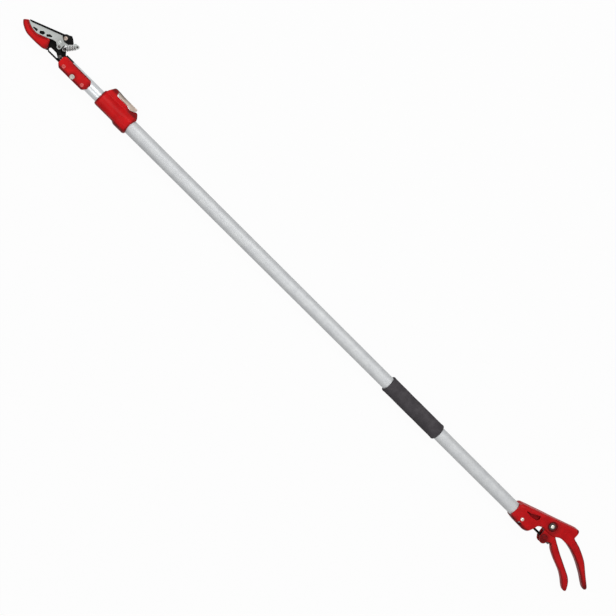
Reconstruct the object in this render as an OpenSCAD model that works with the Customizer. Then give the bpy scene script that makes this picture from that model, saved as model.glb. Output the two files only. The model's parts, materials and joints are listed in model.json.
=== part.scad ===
// Telescopic tree pruner pole, lying on its side with the jaws shut.
// X runs along the pole towards the cutting head, Y towards the squeezed lever, Z up.
// The origin lies on the resting plane, under the pole axis, at the middle of the handle socket.

/* [Pole] */
// Outside diameter of the outer tube
outer_od = 28; // [26:0.5:30]
// Wall of both tubes
tube_wall = 1.5; // [1.2:0.1:1.8]
// Radial gap between the two tubes
tube_gap = 0.5; // [0.4:0.05:0.8]
// Length of the outer tube
outer_len = 1155; // [1100:5:1400]
// Length of the inner tube
inner_len = 1060; // [1000:5:1080]
// Length of inner tube that shows between clamp and head bracket
neck_len = 25; // [20:1:60]
// Travel of the inner tube
travel = 820; // [400:10:830]
// Height of the pole axis above the resting plane
axis_h = 18; // [18:0.5:22]

/* [Foam grip] */
// Distance from the handle mouth to the foam
foam_from_mouth = 228; // [150:1:400]
// Length of the foam
foam_len = 144; // [100:1:200]
// Outside diameter of the foam
foam_od = 34.4; // [32:0.2:35]
// Extra diameter of the rolled end rims
foam_rim = 1; // [0.4:0.1:1]

/* [Handle] */
// Depth of the tube socket
socket_depth = 45; // [38:1:50]
// Distance of the handle mouth from the origin
mouth_x = 40; // [36:1:44]
// Distance of the lever pivot behind the origin
lever_back = 44; // [42:1:48]
// Distance of the lever pivot from the pole axis
lever_arm = 28.5; // [27:0.5:31]
// Half width of the handle body at the pivot
body_half = 14; // [13:0.5:14.5]
// Half width of the fixed grip
grip_half = 11; // [9:0.5:12.5]
// Half width of the lever
lever_half = 9; // [8.5:0.1:9.6]
// Diameter of the lever pivot bolt
lever_bolt_d = 6.5; // [5:0.5:8]
// Diameter of the washers at the lever pivot
washer_d = 14; // [13:0.5:16]
// Diameter of the seats for the washers
bolt_seat_d = 21; // [18:0.5:22]
// Diameter of the trunnion in the lever
trunnion_d = 10; // [9:0.5:11]
// Angle that the lever opens
lever_open = 19; // [10:1:19]
// Edge rounding of the handle
handle_round = 4; // [1:0.5:4.5]

/* [Drive] */
// Outside diameter of the drive tube
drive_od = 9; // [8.5:0.5:10]
// Diameter of the pull rod
rod_d = 6; // [5:0.5:6.5]
// Diameter of the threaded stud at the lever
stud_d = 5; // [4:0.5:5.5]
// Length of the clutch housing
clutch_len = 26; // [22:1:32]
// Wire of the clutch spring
clutch_wire = 1.2; // [0.8:0.1:1.4]

/* [Clamp] */
// Length of the clamp body
clamp_len = 77; // [74:1:90]
// Length of outer tube held in the clamp
clamp_hold = 43; // [39:1:46]
// Radius of the clamp's rear collar
collar_r = 19; // [18.4:0.1:19.4]
// Radius of the clamp's front collar
front_r = 17.2; // [16.6:0.1:17.6]
// Distance from the pole axis to the underside of the front collar
front_low = 16; // [15.2:0.1:16.6]
// Distance of the cam pin from the pole axis
cam_pin_y = 27.4; // [26.5:0.1:29]
// Radius of the cam
cam_r = 6; // [5:0.1:6.5]
// Offset of the cam from its pin
cam_throw = 1.2; // [0.6:0.1:1.5]
// Length of the clamp lever behind its pin
clamp_lever_len = 51.5; // [46:0.5:53]
// Diameter of the cam pin
cam_pin_d = 5; // [4:0.5:6]

/* [Cutting head] */
// Length of the head bracket
bracket_len = 68; // [62:1:80]
// Distance of the blade pivot in front of the bracket
pivot_ahead = 20; // [19:0.5:24]
// Distance of the blade pivot from the pole axis
blade_offset = 31; // [30:0.5:34]
// Diameter of the blade pivot bolt
blade_bolt_d = 7; // [6:0.5:8]
// Diameter of the ear pin
ear_pin_d = 5; // [4:0.5:5.5]
// Thickness of the head frame
frame_t = 4; // [3:0.5:5]
// Thickness of the yoke
yoke_t = 3; // [2:0.5:3]
// Thickness of the blade carrier
carrier_t = 3; // [2:0.5:4]
// Thickness of the cutting blade
blade_t = 2; // [1.5:0.1:3]
// Overlap of the blade on the jaw
bypass = 1.4; // [0.8:0.1:2]

/* [Return spring] */
// Wire diameter
spring_wire = 1.6; // [1:0.1:1.8]
// Mean diameter of the coil
spring_d = 8; // [7:0.2:8.2]
// Number of curls
spring_turns = 6; // [4:1:7]

/* [Clearances] */
// Running clearance on a radius
run_gap = 0.05; // [0.03:0.01:0.1]
// Clearance between sliding faces
face_gap = 0.3; // [0.2:0.05:0.4]
// Clearance at the two open pivots
slot_gap = 0.2; // [0.15:0.01:0.3]

/* [Hidden] */
$fn = 64;
// Steps between two points of a curve, steps of a rounded corner, rings in one curl
curve_steps = 2;
corner_steps = 2;
coil_rings = 8;
// Overlap of a cutter past the face that it cuts
cut = 1;

// Tubes
inner_od = outer_od - 2 * (tube_wall + tube_gap);
outer_id = outer_od - 2 * tube_wall;
inner_id = inner_od - 2 * tube_wall;
plug_len = 17;
plug_web = 3;
plug_inset = 2;
bush_len = 20;

// Stations along the pole
tube_foot = mouth_x - socket_depth;
tube_top = tube_foot + outer_len;
clamp_back = tube_top - clamp_hold;
clamp_front = clamp_back + clamp_len;
bracket_back = clamp_front + neck_len;
bracket_front = bracket_back + bracket_len;
plug_front = bracket_front - plug_inset;
inner_top = plug_front - plug_len;
inner_foot = inner_top - inner_len;
foam_back = mouth_x + foam_from_mouth;
pivot_x = bracket_front + pivot_ahead;
lever_x = -lever_back;

// Layers of the cutting head, measured from the pole axis
layer_gap = 0.5;
eye_t = 2;
frame_top = -rod_d / 2 - layer_gap;
frame_bot = frame_top - frame_t;
eye_bot = -rod_d / 2 + layer_gap;
yoke_bot = eye_bot + eye_t;
yoke_top = yoke_bot + yoke_t;
carrier_bot = yoke_top + face_gap;
carrier_top = carrier_bot + carrier_t;
blade_top = carrier_top + blade_t;
knob_top = blade_top + 1.2;
rib_top = blade_top + 0.8;
ledge_top = carrier_top - face_gap;

// Places on the cutting head, seen from the blade pivot
axis_y = blade_offset;
ear = [-2, 19];
ear_reach = norm(ear);
rod_eye = [5.3 - pivot_ahead, axis_y];
spring_foot = [-11, 16];
spring_tail = [-25, -3.5];
tail_r = 3.9;
blade_screw_at = [3, 12.5];
jaw_screw_at = [for (x = [26, 50]) [x, axis_y + 5.5]];
hub_r = 8.5;
eye_r = 4.2;
rivet_d = 4;
post_d = 4;
jaw_screw_d = 3;
blade_screw_d = 4;
yoke_wall = 3.2;
yoke_half = ear_pin_d / 2 + slot_gap + yoke_wall;

// Handle places, seen from the lever pivot
front_half = axis_h;
mouth_reach = mouth_x - lever_x;
trunnion_lag = lever_arm * tan(lever_open / 2);
trunnion_at = [-trunnion_lag, lever_arm];
trunnion_reach = norm(trunnion_at);
// Play along the arm, because the trunnion runs straight while its seat swings
seat_play = trunnion_reach - lever_arm;
socket_screw_at = [mouth_reach - 23, lever_arm + 4];
socket_screw_d = 4;
screw_head_t = 2.6;
washer_t = 1.2;
bolt_head_d = lever_bolt_d + 2;
thread_d = lever_bolt_d - 1;
pivot_nut_t = 4;
bolt_seat_z = lever_half + face_gap + 1.9;
lever_hub_r = 11;
ear_r = 8.5;
ear_drop = [-2.5, 3];
cap_t = 1.4;
cap_d = 15;
pocket_deep = 8;
mouth_cut = [4, 5];
channel_top = lever_arm - 10;
nut_flats = 8;
nut_t = 5;
nut_gap = 0.2;
stud_room = nut_flats / 2 / cos(30) + 0.4;

// Stroke of the rods, and the angle that the blade opens with it
rod_travel = 2 * trunnion_lag;
blade_open = asin((ear.x + rod_travel) / ear_reach) - asin(ear.x / ear_reach);
echo(rod_travel = rod_travel, blade_open = blade_open);
ear_low = ear_reach * cos(blade_open + asin(ear.x / ear_reach));
ear_slot = [min(ear_low, ear.y) - ear_pin_d / 2 - 2 * slot_gap, ear_reach + ear_pin_d / 2 + 2 * slot_gap];

// Notch in the handle that shows the tube and its lock screw
notch = [mouth_x - 29.5, mouth_x - 20.5];
lock_screw_x = (notch.x + notch.y) / 2;
lock_screw_d = 4;

// Drive
stud_joint = tube_foot - 10;
trunnion_x = lever_x - trunnion_lag;
nuts_front = trunnion_x - ear_r - 1;
stud_back = nuts_front - 2 * (nut_t + nut_gap) - 1.6;
rod_foot = inner_foot - bush_len;
drive_id = drive_od - 2;
clutch_back = inner_foot + bush_len + travel + 20;
clutch_seat = 6;
clutch_floor = clutch_back + clutch_seat + 2;
clutch_wall = 2;
clutch_od = inner_id - 2 * tube_gap;
plate_t = 2;
plate_gap = 0.2;

// Clamp
clamp_pin_x = clamp_front - 14;
clamp_screw_x = clamp_back + 8;
clamp_screw_d = 3;
collar_len = 27;
collar_step = 5;
cheek_in = 5.3;
cheek_out = 9.5;
pad = [12, 13];
sleeve_t = 1.2;
deck_y = collar_r + 3.6;
hump_y = deck_y + 4;
// Finger scoop beside the hump, and the dip in the rear rim
scoop_len = 25;
scoop_low = 15.5;
scoop_half = 3.4;
rim_dip = 3.2;
rim_r = 34;
pin_cover = 1.5;
lever_strip_half = 7.5;

// Bracket
bracket_half = inner_od / 2 + 2.5;
bracket_y = [-9, inner_od / 2 + 3.4];
bolt_at = [[bracket_front - 12, 7.3], [bracket_back + 11, 8.2]];
bolt_d = 4;
bolt_nut_t = 2.6;
pinch_at = [bracket_back + 33, 10];
pinch_d = 5;
pinch_nut_t = 3;
pinch_flats = 8;

// Outlines of the handle: upper edge, lower edge, half thickness
mouth_top = lever_arm - outer_od / 2 - 4.4;
mouth_low = lever_arm + outer_od / 2 + 1.5;
socket_low = lever_arm + outer_od / 2 + 4;
flat_half = front_half + 0.6;
body_rows = [[mouth_reach, mouth_top, mouth_reach, mouth_low, outer_od / 2 + 1.6],
    [mouth_reach - 10, mouth_top - 3.2, mouth_reach - 10, socket_low - 0.9, front_half - 0.2],
    [mouth_reach - 20, 3.6, mouth_reach - 19, socket_low, flat_half],
    [mouth_reach - 34, -0.9, mouth_reach - 30, socket_low, flat_half],
    [mouth_reach - 47, -5.2, mouth_reach - 41, socket_low, flat_half],
    [29, -7.8, 34, socket_low - 3.5, front_half - 0.4], [23, -9.7, 29.2, 34, front_half - 1.4],
    [18, -11.3, 25, 22.5, body_half + 1.6], [10, -13.9, 14.5, 16, body_half + 0.4],
    [-2, -17.8, 4, 15.6, body_half], [-16, -22.3, -10, 15, body_half], [-28, -26.2, -20, 12.4, body_half],
    [-37, -29.1, -27, 8, body_half], [-44, -31.4, -33, 5.4, body_half - 0.4],
    [-49.5, -32, -40, 4.6, body_half - 1], [-53, -27, -47.5, 4.7, body_half - 2],
    [-54.6, -15.8, -55, 5, grip_half]];
grip_rows = [[-46, -16, -48, 4.7, grip_half - 0.4], [-56, -14.8, -56, 5.2, grip_half],
    [-68, -11.6, -65, 6.8, grip_half], [-80, -8, -76, 9.6, grip_half], [-106, 4, -96, 17, grip_half],
    [-130, 21.6, -120, 29, grip_half - 0.4], [-145, 32.6, -137, 39.6, grip_half - 1],
    [-153, 38.4, -146, 45, grip_half - 2.4], [-155.6, 42, -152, 46.6, grip_half - 5]];
lever_rows = [[-20, 8, -14, 24, lever_half - 0.6], [-28, 13, -28, 28, lever_half - 0.6],
    [-42, 20.2, -39, 36.6, lever_half - 0.6], [-58, 28.4, -56, 44.6, lever_half - 0.4],
    [-76, 36.6, -72, 50.4, lever_half], [-92, 43.8, -86, 56, lever_half], [-105, 50, -99, 63.6, lever_half],
    [-115, 57.6, -109, 71.4, lever_half - 0.6], [-123, 68, -117, 76.4, lever_half - 2],
    [-125.8, 73.6, -122.4, 77, lever_half - 4]];
cheek_pocket = [[mouth_reach - 15.5, 14.6], [mouth_reach - 27.3, 11.6], [mouth_reach - 47.8, 1.7],
    [mouth_reach - 50.2, 8], [mouth_reach - 48, 13.8], [mouth_reach - 32, 16.8]];
body_round = 7;

// Outlines of the cutting head
cut_edge = spline([[67.4, 23.4], [60.5, 27.2], [52.5, 29.8], [42, 30.4], [32, 27], [22, 22.6]]);
jaw_low = spline([[12.5, 39.5], [18, 42], [30, 43], [47, 43], [56, 41.8], [63, 39], [70.3, 34.5],
    [74, 30.5]]);
jaw_back = [[17.5, 22.6], [14.5, 28.5], [11, 35.5]];
jaw_nose = [[75, 28.6], [72, 25.4]];
rim_in = 0.4;
rim_back = 2.6;
tail_half = inner_od / 2 - 2.6;
bar_low = axis_y + 8.4;
window_x = [-10.4, 6.4];
window_y = axis_y + 2.2;
window_r = 3;
plug_back = inner_top + plug_web + run_gap - pivot_x;
rib_out = [[66, 20.2], [5, -4.6]];
rib_in = [[66, 21.8], [60.4, 21.4], [3.64, -1.27]];
blade_back = moved([rib_in[0], rib_in[1], [8.6, 0.7]], [0, 0.1]);
knob = [[5, -4.6], [-5, -11.2], [-10, -8.6], [-16.4, -3.2], [-16.4, -0.5], [-11.4, 4], [-2.6, 6], [4, 2.6],
    [6.2, -0.6]];
knob_side = [[-17, -3.5], [-17, -0.3], [-11.7, 4.6], [-2.6, 6.6], [4.3, 3.2], [7, 0.4]];
blade_arm = [[-6.2, 13], [-7.4, 9.6], [-10.5, 8], [-14.5, 4.6], [-18, -0.6], [-22, -2.4], spring_tail,
    [-24.6, -7.2], [-19, -6.4]];
carrier_edge = moved(cut_edge, [0, -bypass - 0.9]);
windows = [[[54.8, 27.4], [44, 28], [44.6, 23.4], [52, 24.8]],
    [[41, 22.8], [38.8, 26.8], [32.2, 24], [31.2, 19.4], [35.6, 18.2]],
    [[28.6, 18.8], [26, 22], [18.6, 16.2], [19, 14], [24.6, 14.9]]];

// Return spring
spring_z = carrier_bot - spring_wire / 2 - face_gap;
spring_dir = unit(spring_tail - spring_foot);
spring_len = norm(spring_tail - spring_foot) - post_d - 2 * face_gap;

function unit(v) = v / norm(v);
// Points on a smooth curve through the given points
function spline(p, n = curve_steps) = let (m = len(p)) concat(
    [for (i = [0:m - 2], k = [0:n - 1])
        let (a = p[max(i - 1, 0)], b = p[i], c = p[i + 1], d = p[min(i + 2, m - 1)], t = k / n)
        0.5 * (2 * b + (c - a) * t + (2 * a - 5 * b + 4 * c - d) * t * t
            + (3 * b - a - 3 * c + d) * t * t * t)],
    [p[m - 1]]);
function moved(p, by) = [for (q = p) q + by];
function turned(p) = [for (i = [len(p) - 1:-1:0]) p[i]];
// Ring of a bar's section between two edge points, half as thick as w, with corners of radius r
function section(row, r) = let (u = [row[0], row[1]], l = [row[2], row[3]], w = row[4], e = unit(l - u),
        h = norm(l - u) / 2, c = (u + l) / 2, q = min(r, h * 0.8, w * 0.8))
    [for (corner = [[1, 1, 0], [-1, 1, 90], [-1, -1, 180], [1, -1, 270]], k = [0:corner_steps])
        let (a = corner.z + 90 * k / corner_steps,
            s = corner.x * (h - q) + q * cos(a), z = corner.y * (w - q) + q * sin(a))
        [c.x + e.x * s, c.y + e.y * s, z]];
// Bar carried through rows of [upper edge x, y, lower edge x, y, half thickness]
module ribbon(rows, r, n = curve_steps) {
    path = spline(rows, n);
    m = 4 * (corner_steps + 1);
    last = len(path) - 1;
    points = [for (row = path) each section(row, r)];
    sides = [for (j = [0:last - 1], i = [0:m - 1])
        let (a = j * m + i, b = j * m + (i + 1) % m) each [[a, b, b + m], [a, b + m, a + m]]];
    foot = [for (k = [1:m - 2]) [0, k + 1, k]];
    head = [for (k = [1:m - 2]) [last * m, last * m + k, last * m + k + 1]];
    polyhedron(points, concat(sides, foot, head));
}
module plate(outline, z0, z1) translate([0, 0, z0]) linear_extrude(z1 - z0) polygon(outline);
module bar(x0, x1, d) translate([x0, 0, 0]) rotate([0, 90, 0]) cylinder(d = d, h = x1 - x0);
module pipe(x0, x1, od, id) difference() {
    bar(x0, x1, od);
    bar(x0 - cut, x1 + cut, id);
}
module post(at, z0, z1, d) translate([at.x, at.y, z0]) cylinder(d = d, h = z1 - z0);
// Hexagon with the given distance across flats
module hex(at, z0, z1, flats) translate([at.x, at.y, z0]) cylinder(d = flats / cos(30), h = z1 - z0, $fn = 6);
// Domed screw head that stands on z0
module dome(at, z0, d, h) translate([at.x, at.y, z0]) intersection() {
    cylinder(d = d, h = h);
    translate([0, 0, h - (d * d / 4 + h * h) / (2 * h)]) sphere(r = (d * d / 4 + h * h) / (2 * h));
}
module lift() translate([0, 0, axis_h]) children();
module at_head() lift() translate([pivot_x, -blade_offset, 0]) children();
module at_handle() lift() translate([lever_x, -lever_arm, 0]) children();

// Unbroken tube along a path, with six sides, each ring square to the path
module wire_tube(path, d, up) {
    sides = 6;
    n = len(path);
    rings = [for (i = [0:n - 1])
        let (t = unit(path[min(i + 1, n - 1)] - path[max(i - 1, 0)]), s = unit(cross(t, up(i))),
            w = cross(s, t))
        for (k = [0:sides - 1]) path[i] + d / 2 * (cos(360 * k / sides) * s + sin(360 * k / sides) * w)];
    tube = [for (i = [0:n - 2], k = [0:sides - 1])
        let (a = i * sides + k, b = i * sides + (k + 1) % sides)
        each [[a, b, b + sides], [a, b + sides, a + sides]]];
    foot = [for (k = [1:sides - 2]) [0, k + 1, k]];
    top = (n - 1) * sides;
    head = [for (k = [1:sides - 2]) [top, top + k, top + k + 1]];
    polyhedron(rings, concat(tube, foot, head));
}
// Coil along its own axis: straight ends on the axis, a turn out, the curls, a turn in
function coil_radius(s, turns, r) = r * min(1, max(0, s / 0.75), max(0, (turns - s) / 0.75));
function coil_path(len, wire, d, turns) = let (run = len - 2 * wire) concat(
    [[0, 0, 0], [0, 0, wire]],
    [for (i = [1:coil_rings * turns - 1])
        let (s = i / coil_rings, r = coil_radius(s, turns, d / 2))
        [r * cos(360 * s), r * sin(360 * s), wire + run * s / turns]],
    [[0, 0, len - wire], [0, 0, len]]);
// Least gap between curls that lie more than half a turn apart
function coil_gap(path, wire) = min([for (i = [2:len(path) - 3])
    for (j = [i + coil_rings * 0.75:1:min(i + coil_rings * 1.5, len(path) - 3)])
        norm(path[i] - path[j]) - wire]);
module coil(len, wire, d, turns) {
    path = coil_path(len, wire, d, turns);
    echo(least_coil_gap = coil_gap(path, wire));
    wire_tube(path, wire, function(i) [path[i].x, path[i].y, 0] + [0.001, 0.002, 0]);
}

// Coil whose ends stop at their seats instead of on the axis
function open_path(len, wire, d, turns) = [for (i = [0:coil_rings * turns])
    let (s = i / coil_rings) [d / 2 * cos(360 * s), d / 2 * sin(360 * s),
        wire * 0.6 + (len - 1.2 * wire) * s / turns]];
module open_coil(len, wire, d, turns) {
    path = open_path(len, wire, d, turns);
    wire_tube(path, wire, function(i) [path[i].x, path[i].y, 0]);
}

// Handle

module handle_body() color("firebrick") at_handle() difference() {
    intersection() {
        union() {
            ribbon(body_rows, body_round);
            ribbon(grip_rows, handle_round);
        }
        // Cheeks cut flat, and the corners of the mouth taken off
        plate([[-250, -250], [mouth_reach - mouth_cut.x, -250], [mouth_reach - mouth_cut.x, mouth_top - 1],
            [mouth_reach, mouth_top + mouth_cut.y], [mouth_reach, mouth_low - mouth_cut.y],
            [mouth_reach - mouth_cut.x, mouth_low + 1], [mouth_reach - mouth_cut.x, 250], [-250, 250]],
            -front_half, front_half);
    }
    // Tube socket, the rod's way behind it and the notch below
    translate([-lever_x, lever_arm, 0]) {
        bar(tube_foot, mouth_x + cut, outer_od + 2 * run_gap);
        bar(tube_foot - 40, tube_foot + cut, drive_od + 2);
        translate([notch.x, outer_od / 2 - 2 * tube_wall, -front_half - cut])
            cube([notch.y - notch.x, outer_od, 2 * (front_half + cut)]);
    }
    // Slot for the lever
    translate([0, 0, -lever_half - face_gap]) linear_extrude(2 * (lever_half + face_gap)) {
        circle(r = lever_hub_r + 1);
        polygon([[-lever_hub_r - 1, 0], [-36, 8], [-38, 40], [17.5, 40], [17.5, 10], [lever_hub_r + 1, 0]]);
    }
    post([0, 0], -front_half, front_half, lever_bolt_d + 2 * run_gap);
    // Washer seats and pockets in both cheeks
    for (side = [0, 1]) mirror([0, 0, side]) {
        post([0, 0], bolt_seat_z, front_half + cut, bolt_seat_d);
        plate(cheek_pocket, front_half - pocket_deep, front_half + cut);
    }
    // Seat of the socket screw
    post(socket_screw_at, 0, front_half + cut, socket_screw_d + 2 * run_gap);
    post(socket_screw_at, front_half - 0.8, front_half + cut, 2 * socket_screw_d + 1);
}
module socket_screw() color("silver") at_handle() difference() {
    union() {
        post(socket_screw_at, outer_od / 2 - tube_wall, front_half - 0.8, socket_screw_d);
        dome(socket_screw_at, front_half - 0.8, 2 * socket_screw_d, screw_head_t);
    }
    translate([socket_screw_at.x, socket_screw_at.y, front_half + screw_head_t])
        cube([1.5 * socket_screw_d, 1, 2 * screw_head_t - 1.6], center = true);
}
module tube_lock_screw() color("black") lift() translate([lock_screw_x, 0, 0]) rotate([-90, 0, 0])
    difference() {
        union() {
            post([0, 0], outer_od / 2 - tube_wall, outer_od / 2 + 0.6, lock_screw_d);
            post([0, 0], outer_od / 2 + 0.6, outer_od / 2 + 4, lock_screw_d + 3);
        }
        hex([0, 0], outer_od / 2 + 2, outer_od / 2 + 5, lock_screw_d - 1);
    }
module handle_lever() color("crimson") at_handle() difference() {
    union() {
        post([0, 0], -lever_half, lever_half, 2 * lever_hub_r);
        plate([[-lever_hub_r, 0], [-23, 10], [-26, 24], trunnion_at + [-ear_r * 0.6, ear_r * 0.7],
            trunnion_at + [ear_r * 0.9, ear_r * 0.2], [lever_hub_r * 0.6, 9], [lever_hub_r, 0]],
            -lever_half, lever_half);
        for (at = [trunnion_at, trunnion_at + ear_drop]) post(at, -lever_half, lever_half, 2 * ear_r);
        ribbon(lever_rows, handle_round);
    }
    post([0, 0], -front_half, front_half, lever_bolt_d + 2 * run_gap);
    // Channel that clears the stud and its nuts through the whole stroke
    plate([[ear_r + 4, channel_top], [-8, channel_top], [-31, 13], [-33, 46], [ear_r + 4, 46]],
        -stud_room, stud_room);
    // Seats of the trunnion, longer along the arm than across it
    for (shift = [-1.2 * seat_play, 0.6 * seat_play])
        post(trunnion_at * (1 + shift / trunnion_reach), -front_half, front_half, trunnion_d + 2 * slot_gap);
}
module lever_pivot_bolt() color("silver") at_handle() {
    post([0, 0], -bolt_seat_z - washer_t, bolt_seat_z + washer_t, lever_bolt_d);
    post([0, 0], -bolt_seat_z - washer_t - pivot_nut_t, -bolt_seat_z - washer_t, thread_d);
    dome([0, 0], bolt_seat_z + washer_t, bolt_head_d, screw_head_t);
}
module pivot_washers() color("dimgray") at_handle() for (side = [0, 1]) mirror([0, 0, side])
    difference() {
        post([0, 0], bolt_seat_z, bolt_seat_z + washer_t, washer_d);
        post([0, 0], 0, bolt_seat_z + 2 * washer_t, lever_bolt_d + 2 * run_gap);
    }
module pivot_nut() color("dimgray") at_handle() difference() {
    hex([0, 0], -bolt_seat_z - washer_t - pivot_nut_t, -bolt_seat_z - washer_t, lever_bolt_d + 5);
    post([0, 0], -front_half, 0, thread_d + 2 * run_gap);
}

// Drive in the handle

module rod_stud() color("black") lift() {
    bar(stud_back, stud_joint + cut, stud_d);
    bar(stud_joint, stud_joint + 18, drive_id - 2 * run_gap);
}
module trunnion() color("dimgray") lift() difference() {
    union() {
        post([trunnion_x, 0], -lever_half - face_gap - cut, lever_half + face_gap + cut, trunnion_d);
        // Caps that keep the lever's ears on it
        for (side = [0, 1]) mirror([0, 0, side])
            post([trunnion_x, 0], lever_half + face_gap, lever_half + face_gap + cap_t, cap_d);
    }
    bar(trunnion_x - trunnion_d, trunnion_x + trunnion_d, stud_d + 2 * run_gap);
}
module stud_spacer() color("dimgray") lift() difference() {
    bar(nuts_front, trunnion_x, stud_d + 2.6);
    bar(nuts_front - cut, trunnion_x + cut, stud_d + 2 * run_gap);
    post([trunnion_x, 0], -lever_half, lever_half, trunnion_d + 2 * run_gap);
}
module adjusting_nuts() color("gray") lift() for (k = [1, 2])
    translate([nuts_front - (nut_t + nut_gap) * k, 0, 0]) rotate([0, 90, 0]) difference() {
        hex([0, 0], 0, nut_t, nut_flats);
        post([0, 0], -cut, nut_t + cut, stud_d + 2 * run_gap);
    }

// Pole

module outer_tube() color("lightgray") lift() difference() {
    pipe(tube_foot, tube_top, outer_od, outer_id);
    translate([lever_x, -lever_arm, 0]) post(socket_screw_at, 0, outer_od, socket_screw_d + 2 * run_gap);
    translate([lock_screw_x, 0, 0]) rotate([-90, 0, 0]) post([0, 0], 0, outer_od, lock_screw_d + 2 * run_gap);
    clamp_screw_holes();
}
module foam_grip() color("dimgray") lift() translate([foam_back, 0, 0]) rotate([0, 90, 0]) rotate_extrude() {
    edge_r = foam_od / 2 - 1.2;
    rim_r = foam_od / 2 + foam_rim / 2;
    polygon(concat([[outer_od / 2 + run_gap, 0]],
        spline([[edge_r, 0], [rim_r, 2.5], [foam_od / 2, 7]]),
        spline([[foam_od / 2, foam_len - 7], [rim_r, foam_len - 2.5], [edge_r, foam_len]]),
        [[outer_od / 2 + run_gap, foam_len]]));
}
module rod_guide() color("black") lift() pipe(tube_foot + 4, tube_foot + 14, outer_id - 2 * run_gap,
    drive_od + 2 * run_gap);
module inner_tube() color("whitesmoke") lift() difference() {
    pipe(inner_foot, inner_top, inner_od, inner_id);
    bracket_bolt_holes();
}
module inner_tube_bush() color("black") lift() difference() {
    union() {
        bar(inner_foot - bush_len, inner_foot, outer_id - 2 * run_gap);
        bar(inner_foot - cut, inner_foot + bush_len, inner_id - 2 * run_gap);
    }
    bar(inner_foot - 2 * bush_len, inner_foot + 2 * bush_len, drive_od + 2 * run_gap);
}
module guide_plug() color("black") lift() difference() {
    bar(inner_top, plug_front, inner_od - 2 * run_gap);
    bar(inner_top - cut, plug_front + cut, rod_d + 2 * run_gap);
    translate([inner_top + plug_web, -inner_od, frame_bot - run_gap])
        cube([plug_len, 2 * inner_od, frame_t + 2 * run_gap]);
    bracket_bolt_holes();
}

// Drive in the pole

module drive_tube() color("gainsboro") lift() pipe(stud_joint, clutch_back + clutch_seat, drive_od, drive_id);
module clutch_housing() color("darkslategray") lift() difference() {
    bar(clutch_back, clutch_back + clutch_len, clutch_od);
    bar(clutch_floor, clutch_back + clutch_len - clutch_wall, clutch_od - 2 * clutch_wall);
    bar(clutch_back - cut, clutch_back + clutch_seat, drive_od + 2 * run_gap);
    bar(clutch_back, clutch_back + clutch_len + cut, rod_d + 2 * face_gap);
}
module clutch_plates() color("silver") lift() for (k = [0, 1])
    translate([clutch_floor + k * (plate_t + plate_gap), 0, 0])
        pipe(0, plate_t, clutch_od - 2 * clutch_wall - 2 * face_gap, rod_d + 2 * run_gap);
module clutch_spring() color("silver") lift() {
    foot = clutch_floor + 2 * (plate_t + plate_gap);
    translate([foot, 0, 0]) rotate([0, 90, 0])
        open_coil(clutch_back + clutch_len - clutch_wall - plate_gap - foot, clutch_wire,
            rod_d + 4 * face_gap + 2 * clutch_wire, 4);
}
module pull_rod() color("gainsboro") at_head() difference() {
    union() {
        translate([-pivot_x, axis_y, 0]) bar(rod_foot, pivot_x + rod_eye.x - eye_r + 1, rod_d);
        plate([rod_eye + [-eye_r - 2, -rod_d / 2], rod_eye + [0, -rod_d / 2], rod_eye + [0, rod_d / 2],
            rod_eye + [-eye_r - 2, rod_d / 2]], eye_bot, yoke_bot);
        post(rod_eye, eye_bot, yoke_bot, 2 * eye_r);
    }
    post(rod_eye, -rod_d, rod_d, rivet_d + 2 * run_gap);
    // The rod's end stops below the yoke
    translate([rod_eye.x - eye_r - layer_gap, rod_eye.y - rod_d, yoke_bot]) cube([2 * eye_r, 2 * rod_d, rod_d]);
}

// Clamp

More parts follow.
